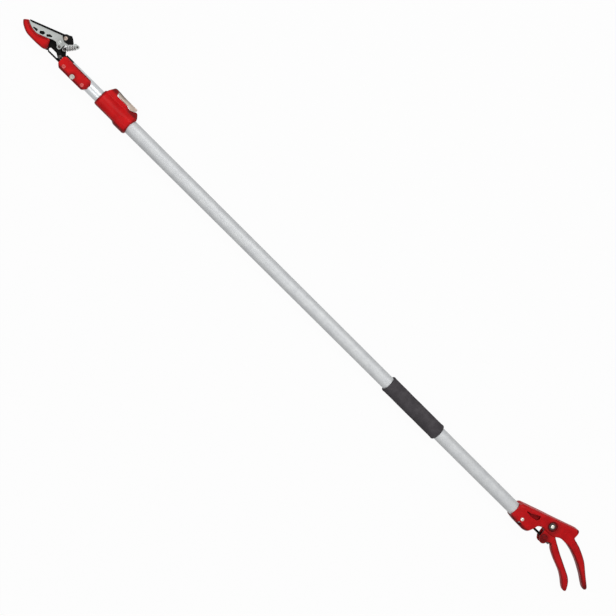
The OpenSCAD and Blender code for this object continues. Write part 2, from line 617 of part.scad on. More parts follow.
module clamp_screw_holes() for (side = [-1, 1]) translate([clamp_screw_x, 0, 0]) rotate([side * 90, 0, 0])
    post([0, 0], outer_od / 2 - tube_wall - cut, hump_y + cut, clamp_screw_d + 2 * run_gap);
module cone(x0, x1, r0, r1) translate([x0, 0, 0]) rotate([0, 90, 0]) cylinder(r1 = r0, r2 = r1, h = x1 - x0);
module pad_window() translate([clamp_pin_x - pad.x / 2 - slot_gap, -cam_pin_y, -pad.y / 2 - slot_gap])
    cube([pad.x + 2 * slot_gap, cam_pin_y, pad.y + 2 * slot_gap]);
module clamp_body() color("crimson") lift() difference() {
    union() {
        intersection() {
            union() {
                cone(clamp_back, clamp_back + 4, collar_r - 2.6, collar_r);
                bar(clamp_back + 4, clamp_back + collar_len, 2 * collar_r);
                cone(clamp_back + collar_len, clamp_back + collar_len + collar_step, collar_r, front_r);
                bar(clamp_back + collar_len, clamp_front - 3, 2 * front_r);
                cone(clamp_front - 3, clamp_front, front_r, front_r - 2);
            }
            // The underside steps up in front of the rear collar
            plate([[clamp_back - cut, -collar_r - cut], [clamp_front + cut, -collar_r - cut],
                [clamp_front + cut, front_low - 5], [clamp_front - 4.5, front_low],
                [clamp_back + collar_len + collar_step, front_low], [clamp_back + collar_len, collar_r],
                [clamp_back - cut, collar_r]], -axis_h, axis_h);
        }
        // Deck under the lever with a finger dip, and the hood that holds the pin
        plate([[clamp_front - 2, 0], [clamp_front - 0.6, -12], [clamp_front - 4.4, -21],
            [clamp_front - 8, -cam_pin_y], [clamp_pin_x + 2.5, -cam_pin_y - 3.4],
            [clamp_pin_x - 1, -cam_pin_y - 4.2], [clamp_pin_x - 5, -cam_pin_y - 3.6],
            [clamp_pin_x - 6.4, -cam_pin_y + 0.4], [clamp_pin_x - 7, -deck_y],
            [clamp_back + collar_len + 4, -deck_y], [clamp_back + 26, -deck_y + 2.6],
            [clamp_back + 18, -deck_y + 2.8], [clamp_back + 12, -hump_y + 1], [clamp_back + 9.4, -hump_y],
            [clamp_back + 6.4, -hump_y + 1.4], [clamp_back + 1.4, -hump_y + 7.6],
            [clamp_back, -collar_r + 3.4], [clamp_back + 1, 0]], -cheek_out, cheek_out);
    }
    bar(clamp_back - cut, tube_top, outer_od + 2 * run_gap);
    bar(clamp_back, clamp_front + cut, inner_od + 2 * sleeve_t + 2 * run_gap);
    clamp_screw_holes();
    // Room for the cam and the lever between the cheeks
    translate([0, 0, -cheek_in]) linear_extrude(2 * cheek_in) {
        translate([clamp_pin_x, -cam_pin_y]) circle(r = cam_r + cam_throw + 1);
        polygon([[clamp_pin_x, -cam_pin_y - 8], [clamp_pin_x, -cam_pin_y + 7], [clamp_pin_x - 9, -deck_y - 0.8],
            [clamp_pin_x - 14, -cam_pin_y - 8]]);
    }
    pad_window();
    // Finger scoop on both sides of the hump, and the dip in the rear rim
    for (side = [0, 1]) mirror([0, 0, side]) translate([clamp_back - cut, 0, 0]) rotate([90, 0, 90])
        linear_extrude(scoop_len + cut) polygon([[-hump_y - cut, scoop_half], [-scoop_low, cheek_out + cut],
            [-hump_y - cut, cheek_out + cut]]);
    post([clamp_back + rim_dip - rim_r, 0], -axis_h - cut, axis_h + cut, 2 * rim_r);
    // The pin goes in from the side that it lies on
    post([clamp_pin_x, -cam_pin_y], -collar_r, cheek_out - pin_cover, cam_pin_d + 2 * run_gap);
}
module clamp_screws() color("black") lift() for (side = [-1, 1])
    translate([clamp_screw_x, 0, 0]) rotate([side * 90, 0, 0])
        post([0, 0], outer_od / 2 - tube_wall, collar_r - 0.6, clamp_screw_d);
module clamp_sleeve() color("black") lift() difference() {
    bar(tube_top, clamp_front - 0.4, inner_od + 2 * sleeve_t);
    bar(tube_top - cut, clamp_front + cut, inner_od + 2 * run_gap);
    pad_window();
}
module pressure_pad() color("black") lift() difference() {
    translate([clamp_pin_x - pad.x / 2, -cam_pin_y + cam_r + cam_throw + run_gap, -pad.y / 2])
        cube([pad.x, cam_pin_y - cam_r - cam_throw - run_gap, pad.y]);
    bar(clamp_back, clamp_front, inner_od + 2 * run_gap);
}
module clamp_pin() color("silver") lift()
    post([clamp_pin_x, -cam_pin_y], -cheek_out + 0.3, cheek_out - pin_cover - nut_gap, cam_pin_d);
module clamp_lever() color("silver") lift() translate([clamp_pin_x, -cam_pin_y, 0]) difference() {
    tip = -clamp_lever_len;
    under = [[-20, 3.4], [tip + 19.5, 3.5], [tip + 13.5, 4.7], [tip + 8, 6.2], [tip + 4.5, 4.2], [tip + 1.5, 1],
        [tip, -1]];
    over = [[tip + 1, -3.8], [-22, -3.8]];
    union() {
        post([0, cam_throw], -cheek_in + face_gap, cheek_in - face_gap, 2 * cam_r);
        plate(concat([[0, -cam_r + cam_throw], [2, 0], [-3, 1]], spline(concat([[-8, 0.6]], under)),
            spline(concat(over, [[-8, -4.6]]))), -cheek_in + face_gap, cheek_in - face_gap);
        // The strip is wider behind the hood
        plate(concat(spline(concat([[-9, 2.6]], under)), spline(concat(over, [[-9, -4.2]]))),
            -lever_strip_half, lever_strip_half);
    }
    post([0, 0], -collar_r, collar_r, cam_pin_d + 2 * run_gap);
}

// Head bracket

module bracket_bolt_holes() {
    for (at = bolt_at) post(at, -bracket_half - cut, bracket_half + cut, bolt_d + 2 * run_gap);
    post(pinch_at, -bracket_half - cut, bracket_half + cut, pinch_d + 2 * run_gap);
}
module head_bracket() color("crimson") lift() difference() {
    intersection() {
        plate([[bracket_back, bracket_y[0] + 5], [bracket_back + 5, bracket_y[0]],
            [bracket_front - 4, bracket_y[0]], [bracket_front, bracket_y[0] + 4],
            [bracket_front, bracket_y[1] - 6.4], [bracket_front - 7, bracket_y[1]],
            [bracket_back + 7, bracket_y[1]], [bracket_back, bracket_y[1] - 7.4]], -bracket_half, bracket_half);
        // Chamfers along the bracket
        translate([bracket_back - cut, 0, 0]) rotate([90, 0, 90]) linear_extrude(bracket_len + 2 * cut)
            polygon([[bracket_y[0] - 0.1, bracket_half - 2.5], [bracket_y[0] + 2, bracket_half],
                [bracket_y[1] - 3, bracket_half], [bracket_y[1] + 0.1, bracket_half - 4],
                [bracket_y[1] + 0.1, 4 - bracket_half], [bracket_y[1] - 3, -bracket_half],
                [bracket_y[0] + 2, -bracket_half], [bracket_y[0] - 0.1, 2.5 - bracket_half]]);
    }
    bar(bracket_back - cut, bracket_front + cut, inner_od + 2 * run_gap);
    bracket_bolt_holes();
}
module bracket_bolts() color("gray") lift() for (at = bolt_at) {
    post(at, -bracket_half - bolt_nut_t, bracket_half, bolt_d);
    dome(at, bracket_half, bolt_d + 3.4, 2.2);
}
module bracket_nuts() color("gray") lift() for (at = bolt_at) difference() {
    hex(at, -bracket_half - bolt_nut_t, -bracket_half, bolt_d + 3);
    post(at, -2 * bracket_half, 0, bolt_d + 2 * run_gap);
}
module pinch_bolt() color("silver") lift() {
    post(pinch_at, -bracket_half - pinch_nut_t, bracket_half, pinch_d);
    post(pinch_at, bracket_half, bracket_half + 1, pinch_d + 4.5);
    hex(pinch_at, bracket_half + 1, bracket_half + 3.4, pinch_flats);
}
module pinch_nut() color("silver") lift() difference() {
    hex(pinch_at, -bracket_half - pinch_nut_t, -bracket_half, pinch_flats);
    post(pinch_at, -2 * bracket_half, 0, pinch_d + 2 * run_gap);
}

// Cutting head

module head_frame() color("black") at_head() difference() {
    translate([0, 0, frame_bot]) linear_extrude(frame_t) difference() {
        union() {
            circle(r = hub_r);
            polygon(concat([[6, -5.6], [12, 5], [20.5, 19.5]], turned(moved(cut_edge, [-0.6, 1.2])),
                [[68, 26.4]], turned(moved(jaw_low, [-4, -2])), [[7, bar_low], [-20, bar_low],
                [-20, axis_y + tail_half], [plug_back, axis_y + tail_half],
                [plug_back, axis_y - tail_half], [-20, axis_y - tail_half],
                spring_foot + [-4.4, 1], spring_foot + [0, -3], spring_foot + [3.6, 1], [-4.5, axis_y - 7],
                [3, axis_y - 7], [2, 18], [-6.8, 4.6]]));
            translate(spring_foot) circle(r = post_d);
        }
        // Window between the two bars
        for (x = window_x) translate([x, window_y]) circle(r = window_r);
        translate([window_x[0], window_y - window_r]) square([window_x[1] - window_x[0], 2 * window_r]);
    }
    post([0, 0], -2 * bracket_half, 0, blade_bolt_d + 2 * run_gap);
    post(spring_foot, -2 * bracket_half, 0, post_d + 2 * run_gap);
    translate([-pivot_x, blade_offset, 0]) bracket_bolt_holes();
    for (at = jaw_screw_at) post(at, -2 * bracket_half, 0, jaw_screw_d + 2 * run_gap);
}
module counter_jaw() color("red") at_head() difference() {
    union() {
        plate(concat(jaw_nose, moved(cut_edge, [0, -bypass]), jaw_back, jaw_low), frame_top, ledge_top);
        // Rim that stands beside the blade
        plate(concat([jaw_nose[0] - [rim_in, 0], [70, 27]], moved(cut_edge, [0, rim_back]), [[17, 25.5]],
            moved([jaw_back[1], jaw_back[2]], [rim_in, 0]), moved(jaw_low, [0, -rim_in])),
            ledge_top - layer_gap, rib_top);
    }
    for (at = jaw_screw_at) post(at, frame_top - cut, ledge_top - 2, jaw_screw_d + 2 * run_gap);
}
module jaw_screws() color("dimgray") at_head() for (at = jaw_screw_at) {
    post(at, frame_bot, ledge_top - 2.4, jaw_screw_d);
    mirror([0, 0, 1]) dome(at, -frame_bot, 2 * jaw_screw_d, 1.8);
}
module carrier_holes() {
    post([0, 0], 0, knob_top + cut, blade_bolt_d + 2 * run_gap);
    post(ear, 0, knob_top, ear_pin_d);
    post(blade_screw_at, 0, knob_top, blade_screw_d);
}
module blade_carrier() color("black") at_head() difference() {
    union() {
        plate(concat([[66.8, 20.9], rib_out[0], rib_out[1], knob[1], knob[3], knob[4], knob[5], [-7.4, 8.4],
            [-6.4, 14], [-1.8, 16], [8, 14.5]], turned(carrier_edge)), carrier_bot, carrier_top);
        post(ear, carrier_bot, carrier_top, ear_pin_d + 4.4);
        plate([[-6.4, 12], [8, 12], [2.5, ear.y], [-6.7, ear.y]], carrier_bot, carrier_top);
        plate(concat([[67, 21.2]], rib_out, turned(rib_in)), carrier_bot, rib_top);
        plate(knob, carrier_bot, knob_top);
    }
    carrier_holes();
}
module cutting_blade() color("silver") at_head() difference() {
    union() {
        plate(concat(cut_edge, [[14, 17.6], [8, 16.4]], blade_arm, knob_side,
            turned(blade_back)), carrier_top, blade_top);
        post(ear, carrier_top, blade_top, ear_pin_d + 4);
        plate([[-6.2, 12], [8, 16.4], [2.5, ear.y + 1], [-6.4, ear.y]], carrier_top, blade_top);
        post(spring_tail, carrier_top, blade_top, 2 * tail_r);
    }
    for (w = windows) plate(w, carrier_top - cut, blade_top + cut);
    carrier_holes();
    post(spring_tail, 0, knob_top, post_d);
}
module ear_pin() color("dimgray") at_head() post(ear, yoke_bot + nut_gap, blade_top, ear_pin_d);
module tail_post() color("dimgray") at_head() post(spring_tail, spring_z - spring_wire, blade_top, post_d);
module blade_screw() color("silver") at_head() {
    post(blade_screw_at, carrier_bot, blade_top, blade_screw_d);
    dome(blade_screw_at, blade_top, 1.6 * blade_screw_d, 0.6);
}
module blade_pivot_bolt() color("silver") at_head() {
    post([0, 0], frame_bot - 4, knob_top + face_gap, blade_bolt_d);
    dome([0, 0], knob_top + face_gap, blade_bolt_d + 1, 1.8);
}
module blade_pivot_nut() color("dimgray") at_head() difference() {
    hex([0, 0], frame_bot - 5, frame_bot, blade_bolt_d + 5);
    post([0, 0], -2 * bracket_half, 0, blade_bolt_d + 2 * run_gap);
}
module pivot_spacer() color("gray") at_head() difference() {
    post([0, 0], frame_top, carrier_bot - face_gap / 2, 2 * hub_r - 3);
    post([0, 0], frame_bot, carrier_top, blade_bolt_d + 2 * run_gap);
}

// Yoke and return spring

module yoke() color("black") at_head() difference() {
    union() {
        post(rod_eye, yoke_bot, yoke_top, 2 * eye_r);
        plate([[ear.x - yoke_half, ear_slot[0] - yoke_wall], [ear.x + yoke_half, ear_slot[0] - yoke_wall],
            [ear.x + yoke_half, ear_slot[1] + 1.4], [0, axis_y - 4.4], rod_eye + [1.5, eye_r * 0.9],
            rod_eye + [-eye_r * 0.9, -1.5], [ear.x - yoke_half, ear.y + 2]], yoke_bot, yoke_top);
    }
    // Slot across the pole for the ear pin
    translate([ear.x - ear_pin_d / 2 - slot_gap, ear_slot[0], yoke_bot - cut])
        cube([ear_pin_d + 2 * slot_gap, ear_slot[1] - ear_slot[0], yoke_t + 2 * cut]);
    post(rod_eye, -rod_d, rod_d, rivet_d + 2 * run_gap);
}
module yoke_rivet() color("silver") at_head() {
    post(rod_eye, eye_bot, yoke_top, rivet_d);
    dome(rod_eye, yoke_top, rivet_d + 3, 1.4);
}
module spring_post() color("dimgray") at_head()
    post(spring_foot, frame_bot, spring_z + spring_wire + 1.2, post_d);
module return_spring() color("silver") at_head()
    translate([each (spring_foot + spring_dir * (post_d / 2 + face_gap)), spring_z])
        rotate([0, 0, atan2(spring_dir.y, spring_dir.x)]) rotate([0, 90, 0])
            coil(spring_len, spring_wire, spring_d, spring_turns);

handle_body();
handle_lever();
lever_pivot_bolt();
pivot_washers();
pivot_nut();
socket_screw();
tube_lock_screw();
rod_stud();
trunnion();
stud_spacer();
adjusting_nuts();
outer_tube();
foam_grip();
rod_guide();
drive_tube();
clutch_housing();
clutch_plates();
clutch_spring();
clamp_body();
clamp_screws();
clamp_sleeve();
pressure_pad();
clamp_pin();
clamp_lever();
inner_tube();
inner_tube_bush();
guide_plug();
head_bracket();
bracket_bolts();
bracket_nuts();
pinch_bolt();
pinch_nut();
head_frame();
counter_jaw();
jaw_screws();
blade_pivot_bolt();
blade_pivot_nut();
pivot_spacer();
spring_post();
return_spring();
blade_carrier();
cutting_blade();
blade_screw();
ear_pin();
tail_post();
pull_rod();
yoke();
yoke_rivet();
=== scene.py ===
# %% [markdown]
# # A telescopic tree pruner pole, dressed piece by piece
# The pole lies on its side with the jaws shut. The cutting head is at the far end of +X, the squeezed lever
# hangs towards +Y, and +Z is up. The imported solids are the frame: every piece made here goes where its solid
# is, so nothing has to be fitted by eye.

# %% Load the frame
import json
import math

import bmesh
import bpy
import numpy as np
from mathutils import Matrix, Vector, geometry

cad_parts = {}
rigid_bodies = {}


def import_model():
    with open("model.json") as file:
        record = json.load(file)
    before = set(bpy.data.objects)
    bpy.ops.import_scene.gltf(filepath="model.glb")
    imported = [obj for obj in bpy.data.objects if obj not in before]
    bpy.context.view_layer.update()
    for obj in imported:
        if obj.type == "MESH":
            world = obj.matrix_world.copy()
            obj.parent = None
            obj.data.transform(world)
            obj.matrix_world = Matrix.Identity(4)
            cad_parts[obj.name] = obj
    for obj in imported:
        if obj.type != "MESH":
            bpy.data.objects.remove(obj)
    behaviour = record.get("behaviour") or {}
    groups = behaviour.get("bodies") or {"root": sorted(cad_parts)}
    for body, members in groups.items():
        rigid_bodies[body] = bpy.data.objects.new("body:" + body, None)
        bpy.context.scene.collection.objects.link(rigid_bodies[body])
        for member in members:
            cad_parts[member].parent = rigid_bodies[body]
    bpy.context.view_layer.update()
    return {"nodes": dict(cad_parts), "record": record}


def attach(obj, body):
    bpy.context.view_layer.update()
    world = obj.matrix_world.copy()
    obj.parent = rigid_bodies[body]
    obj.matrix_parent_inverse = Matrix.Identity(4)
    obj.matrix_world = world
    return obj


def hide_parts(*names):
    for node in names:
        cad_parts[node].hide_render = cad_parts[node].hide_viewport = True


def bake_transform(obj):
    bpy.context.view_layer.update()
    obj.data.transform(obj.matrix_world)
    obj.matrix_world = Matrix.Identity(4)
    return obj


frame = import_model()
nodes = frame["nodes"]
slot_of = {row["node"]: row["material_slot"] for row in frame["record"]["subparts"]}
body_of = {node: body for body, held in frame["record"]["behaviour"]["bodies"].items() for node in held}

# %% [markdown]
# ## Camera
# The photograph looks down on the pole, with the cutting head a little nearer than the handle. The pole runs from
# the upper left to the lower right, so the camera is turned about its own line of sight. Its three axes are
# written out as a matrix, which is easier to follow than three angles.

# %% Camera at the photograph's angle
LEAN = math.radians(12)
ROLL_COS, ROLL_SIN = 0.7097, 0.7045
AIM, DISTANCE = Vector((0.6316, 0.006, 0.018)), 2.286
towards_eye = Vector((math.sin(LEAN), 0, math.cos(LEAN)))
along_pole = Vector((math.cos(LEAN), 0, -math.sin(LEAN)))
across_pole = Vector((0, 1, 0))
picture_right = -ROLL_COS * along_pole - ROLL_SIN * across_pole
picture_up = ROLL_SIN * along_pole - ROLL_COS * across_pole
camera = bpy.data.objects.new("camera", bpy.data.cameras.new("camera"))
camera.data.lens = 69.7
camera.data.sensor_width = 36
camera.matrix_world = Matrix((picture_right, picture_up, towards_eye)).transposed().to_4x4()
camera.location = AIM + DISTANCE * towards_eye
bpy.context.scene.collection.objects.link(camera)
bpy.context.scene.camera = camera
print("camera", [round(c, 3) for c in camera.location])

# %% [markdown]
# ## Tools for shaders
# The floor, the world and every finish are small trees of nodes. A few short functions add a node, fill its
# sockets and hand on its result, so that a tree reads like a sum.

# %% Shader tools
def add(tree, kind, sockets=None, **settings):
    """Adds a node with its settings. Each socket, by name or number, is linked to the output of another node or
    set to a plain value."""
    node = tree.nodes.new(kind)
    for key, value in settings.items():
        setattr(node, key, value)
    for key, value in (sockets or {}).items():
        if isinstance(value, bpy.types.NodeSocket):
            tree.links.new(value, node.inputs[key])
        else:
            node.inputs[key].default_value = value
    return node


def arithmetic(tree, operation, a, b):
    """Product, sum or larger of two numbers or outputs; products and sums are held between nought and one."""
    held = operation in ("MULTIPLY", "ADD")
    return add(tree, "ShaderNodeMath", {0: a, 1: b}, operation=operation, use_clamp=held).outputs[0]


def ramp(tree, value, low, high, to_low=0.0, to_high=1.0):
    """Straight ramp from one range of a value to another, held at its ends."""
    ends = {"From Min": low, "From Max": high, "To Min": to_low, "To Max": to_high}
    return add(tree, "ShaderNodeMapRange", {"Value": value, **ends}).outputs[0]


def tint(tree, mask, first, second):
    """Colour that goes from the first to the second with a mask."""
    return add(tree, "ShaderNodeMix", {0: mask, 6: first, 7: second}, data_type="RGBA").outputs[2]


def noise(tree, coordinates, scale, detail, rough):
    """Soft noise on given coordinates."""
    sockets = {"Vector": coordinates, "Scale": scale, "Detail": detail, "Roughness": rough}
    return add(tree, "ShaderNodeTexNoise", sockets).outputs["Fac"]


def group(name, inputs, outputs):
    """Empty shader group with named number sockets; gives its tree, its inputs, its outputs and the piece's own
    coordinates."""
    tree = bpy.data.node_groups.new(name, "ShaderNodeTree")
    for socket, value in inputs.items():
        tree.interface.new_socket(socket, in_out="INPUT", socket_type="NodeSocketFloat").default_value = value
    for socket in outputs:
        tree.interface.new_socket(socket, in_out="OUTPUT", socket_type="NodeSocketFloat")
    given, gives = add(tree, "NodeGroupInput").outputs, add(tree, "NodeGroupOutput").inputs
    return tree, given, gives, add(tree, "ShaderNodeTexCoord").outputs["Object"]


print("shader tools ready")

# %% [markdown]
# ## Floor and light
# A product picture on white needs a floor that looks white to the camera and still catches a soft shadow.
# Turning the lamps up would bleach the pole, so the floor and the world show white only to rays from the
# camera, to reflections and to rays through glass. Two long lamps hang beside the pole, high enough that faces
# that look up are bright and faces that turn away fall off, and far enough out that flat metal doesn't mirror
# them into the camera. The rest comes evenly from the world.

# %% Floor, world and lamps
WHITE = (1, 1, 1, 1)
FLOOR_GREY, FLOOR_SHARE, SKY = 0.5, 0.965, 0.3


def white_to_the_eye(tree, lit, white, share, out):
    """Ends a tree: a share of the white shader for rays from the camera, a reflection or a clear piece, and
    the lit shader for all others."""
    path = add(tree, "ShaderNodeLightPath").outputs
    seen = arithmetic(tree, "MAXIMUM", path["Is Camera Ray"], path["Is Glossy Ray"])
    seen = arithmetic(tree, "MAXIMUM", seen, path["Is Transmission Ray"])
    mask = arithmetic(tree, "MULTIPLY", seen, share)
    mix = add(tree, "ShaderNodeMixShader", {0: mask, 1: lit.outputs[0], 2: white.outputs[0]})
    add(tree, out, {"Surface": mix.outputs[0]})


def cleared(owner):
    """The empty shader tree of a material or a world."""
    owner.use_nodes = True
    owner.node_tree.nodes.clear()
    return owner.node_tree


def long_lamp(name, place, target, watts, length=2.4, width=0.8):
    """Area lamp as long as the pole at a place, turned to face its target."""
    lamp = bpy.data.objects.new(name, bpy.data.lights.new(name, "AREA"))
    lamp.data.shape = "RECTANGLE"
    lamp.data.size, lamp.data.size_y = length, width
    lamp.data.energy = watts
    lamp.location = place
    lamp.rotation_euler = (Vector(target) - Vector(place)).to_track_quat("-Z", "Y").to_euler()
    bpy.context.scene.collection.objects.link(lamp)


floor_mesh = bpy.data.meshes.new("floor")
floor_mesh.from_pydata([(-5, -6, 0), (7, -6, 0), (7, 6, 0), (-5, 6, 0)], [], [(0, 1, 2, 3)])
floor = bpy.data.objects.new("floor", floor_mesh)
floor_mesh.materials.append(bpy.data.materials.new("white_floor"))
tree = cleared(floor_mesh.materials[0])
matt = add(tree, "ShaderNodeBsdfDiffuse", {"Color": (FLOOR_GREY, FLOOR_GREY, FLOOR_GREY, 1)})
white_to_the_eye(tree, matt, add(tree, "ShaderNodeEmission"), FLOOR_SHARE, "ShaderNodeOutputMaterial")
bpy.context.scene.collection.objects.link(floor)

world = bpy.data.worlds.new("studio")
bpy.context.scene.world = world
tree = cleared(world)
sky = [add(tree, "ShaderNodeBackground", {"Color": WHITE, "Strength": strength}) for strength in (SKY, 1.0)]
white_to_the_eye(tree, *sky, 1.0, "ShaderNodeOutputWorld")

long_lamp("key", (0.8, -1.2, 1.95), (0.8, 0, 0), watts=33)
long_lamp("fill", (0.65, 1.05, 2.0), (0.65, 0, 0), watts=18)
bpy.context.scene.view_settings.view_transform = "Standard"
print("floor, world and two lamps are set")

# %% [markdown]
# ## Tools for shapes
# Most pieces are one of four things: a bar carried through sections, a turned piece, a flat plate with rounded
# edges, or a wire bent along a path. Each is worked out in millimetres as whole arrays of points, and then put
# into a mesh in metres. A shape is kept as its points, its curved faces and its flat faces, so that flat faces
# can be shaded flat. Places are measured from three origins: the pole's axis, the lever's bolt and the blade's.

# %% Points on curves
MM = 0.001
POLE = np.array([0.0, 0.0, 18.0])
HANDLE = np.array([-44.0, -28.5, 18.0])
HEAD = np.array([1297.0, -31.0, 18.0])


def smooth_through(points, steps):
    """Smooth curve through points: on each stretch the cubic whose slope at a point is half the step
    from the point before to the point after."""
    p = np.asarray(points, float)
    row = np.vstack([p[:1], p, p[-1:]])
    a, b, c, d = (row[k:len(row) - 3 + k, None] for k in range(4))
    t = np.arange(steps)[None, :, None] / steps
    curve = 0.5 * (2 * b + (c - a) * t + (2 * a - 5 * b + 4 * c - d) * t**2 + (3 * b - a - 3 * c + d) * t**3)
    return np.vstack([curve.reshape(-1, p.shape[1]), p[-1:]])


def arc(centre, radius, start, end, steps=12):
    """Points on a circle from one angle to another, in degrees."""
    angle = np.radians(np.linspace(start, end, steps + 1))
    return np.asarray(centre, float) + radius * np.stack([np.cos(angle), np.sin(angle)], 1)


def bore(centre, radius):
    """Outline of a round hole."""
    return arc(centre, radius, 0, 345, 23)


def stitched(*runs):
    """One outline from several runs of points."""
    return np.vstack([np.atleast_2d(np.asarray(run, float)) for run in runs])


def eased(loop, reach, steps=4):
    """Closed outline with its corners rounded: each corner gives way to the parabola that starts and ends
    a reach away from it on its two edges, or less than half an edge where the edge is short."""
    p = np.asarray(loop, float)
    back, ahead = np.roll(p, 1, 0) - p, np.roll(p, -1, 0) - p
    step_back = np.minimum(0.45, reach / np.linalg.norm(back, axis=1))[:, None] * back
    step_ahead = np.minimum(0.45, reach / np.linalg.norm(ahead, axis=1))[:, None] * ahead
    t = np.linspace(0, 1, steps + 1)[None, :, None]
    start, end = (p + step_back)[:, None], (p + step_ahead)[:, None]
    return ((1 - t) ** 2 * start + 2 * t * (1 - t) * p[:, None] + t**2 * end).reshape(-1, 2)


def rise(value, start, end):
    """Nought before the start, one beyond the end and a straight line between; the end may be the lower."""
    return np.clip((value - start) / (end - start), 0, 1)


print("curve tools ready")

# %% Faces between rings
def ring_faces(rings, spokes, joined=False):
    """Four-sided faces between neighbouring rings, and from the last ring to the first where they join."""
    ring, spoke = np.meshgrid(np.arange(rings if joined else rings - 1), np.arange(spokes), indexing="ij")
    after, beside = (ring + 1) % rings, (spoke + 1) % spokes
    corners = [ring * spokes + spoke, ring * spokes + beside, after * spokes + beside, after * spokes + spoke]
    return np.stack(corners, -1).reshape(-1, 4)


def tubular(points, spokes, joined=False):
    """Shape from rings of points: joined ones close on themselves, and others are shut by two flat faces."""
    spoke = np.arange(spokes)[None]
    ends = [] if joined else [spoke[:, ::-1], len(points) - spokes + spoke]
    return points, [ring_faces(len(points) // spokes, spokes, joined)], ends


def round_angles(spokes):
    """Angles of the spokes of a full circle, as one row."""
    return np.linspace(0, 2 * np.pi, spokes, endpoint=False)[None]


def radial(r, h, angle):
    """Points round the upright axis: x = r cos a, y = r sin a, z = h."""
    return np.stack(np.broadcast_arrays(r * np.cos(angle), r * np.sin(angle), h), -1).reshape(-1, 3)


print("ring tools ready")

# %% Shapes moved and turned
def merged(*shapes):
    """Several shapes as one: their points one after another, their faces moved along to match."""
    points, curved, flat, count = [], [], [], 0
    for shape_points, shape_curved, shape_flat in shapes:
        points.append(shape_points)
        curved += [block + count for block in shape_curved]
        flat += [block + count for block in shape_flat]
        count += len(shape_points)
    return np.vstack(points), curved, flat


def shifted(shape, by):
    """The same shape moved by a step."""
    return shape[0] + np.asarray(by, float), shape[1], shape[2]


def along_x(shape):
    """The shape with its own upright axis laid along the pole: x, y and z each take the next one's place."""
    return shape[0][:, [2, 0, 1]], shape[1], shape[2]


def along_y(shape):
    """The shape with its own upright axis laid across the pole."""
    return shape[0][:, [1, 2, 0]], shape[1], shape[2]


def turned(profile, spokes=64, closed=False):
    """A profile of radius and height swung round the upright axis. A closed profile makes a ring, and an open
    one is shut by a flat face at each end."""
    profile = np.asarray(profile, float)
    return tubular(radial(profile[:, :1], profile[:, 1:], round_angles(spokes)), spokes, closed)


def mirrored(profile):
    """The same profile upside down."""
    return [[r, -h] for r, h in profile]


print("shape tools ready")

# %% Pieces and what lies on them
def put(name, shape, origin):
    """Puts a shape into a mesh in metres, with its curved faces smooth and every face turned outward."""
    points, curved, flat = shape
    faces = [face for block in curved for face in block.tolist()]
    rounded = len(faces)
    faces += [face for block in flat for face in block.tolist()]
    mesh = bpy.data.meshes.new(name)
    mesh.from_pydata(((points + origin) * MM).tolist(), [], faces)
    mesh.polygons.foreach_set("use_smooth", np.arange(len(faces)) < rounded)
    work = bmesh.new()
    work.from_mesh(mesh)
    bmesh.ops.recalc_face_normals(work, faces=work.faces)
    work.to_mesh(mesh)
    work.free()
    piece = bpy.data.objects.new(name, mesh)
    bpy.context.scene.collection.objects.link(piece)
    return piece


def dress(piece, solid, rides=True):
    """Hides the solid that a piece stands for, gives it the solid's finish and, where it rides, the solid's body."""
    if rides:
        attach(piece, body_of[solid])
    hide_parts(solid)
    piece["finish"] = slot_of[solid]
    print(piece.name, len(piece.data.polygons), "faces")
    return piece


def mark_amounts(piece, *amounts, name="painted_shade_and_grime"):
    """Writes a number from nought to one on each point, the largest of the amounts: how much painted shade
    and grime lie there or, under another name, how far its crests are rubbed or painted pale as a highlight."""
    count = len(piece.data.vertices)
    most = np.max([np.broadcast_to(amount, count) for amount in amounts], 0)
    layer = piece.data.attributes.new(name, "FLOAT", "POINT")
    layer.data.foreach_set("value", np.clip(most, 0, 1).astype(np.float32))
    return piece


def fitted(name, shape, origin, solid, painted_shade_and_grime=None):
    """Puts a shape where its solid is and dresses it, with an even film of painted shade and grime if there is any.
    """
    piece = put(name, shape, origin)
    return dress(piece if painted_shade_and_grime is None else mark_amounts(piece, painted_shade_and_grime), solid)


print("mesh tools ready")

# %% Outlines
def facing(loop, way):
    """The outline, turned round if it doesn't run the given way: 1 is against the clock, -1 with it."""
    p = np.asarray(loop, float)
    area = np.sum(p[:, 0] * np.roll(p[:, 1], -1) - p[:, 1] * np.roll(p[:, 0], -1))
    return p if area * way > 0 else p[::-1]


def inward(loop):
    """For each corner, the step that moves both its edges one unit to their left: the sum of the two edge
    normals over one plus their dot product, which is kept from nought at a needle-sharp corner."""
    ahead = np.roll(loop, -1, 0) - loop
    normal = np.stack([-ahead[:, 1], ahead[:, 0]], 1) / np.linalg.norm(ahead, axis=1)[:, None]
    before = np.roll(normal, 1, 0)
    return (normal + before) / np.maximum(0.35, 1 + np.sum(normal * before, 1))[:, None]


def inside(spots, start, stop):
    """Which spots lie in an outline given by the two ends of its edges: a line from the spot towards +x
    crosses an odd number of edges."""
    above = (start[:, 1] > spots[:, 1:]) != (stop[:, 1] > spots[:, 1:])
    height = np.where(stop[:, 1] == start[:, 1], 1, stop[:, 1] - start[:, 1])
    cross = start[:, 0] + (spots[:, 1:] - start[:, 1]) * (stop[:, 0] - start[:, 0]) / height
    return np.sum(above & (spots[:, :1] < cross), 1) % 2 == 1


print("outline tools ready")

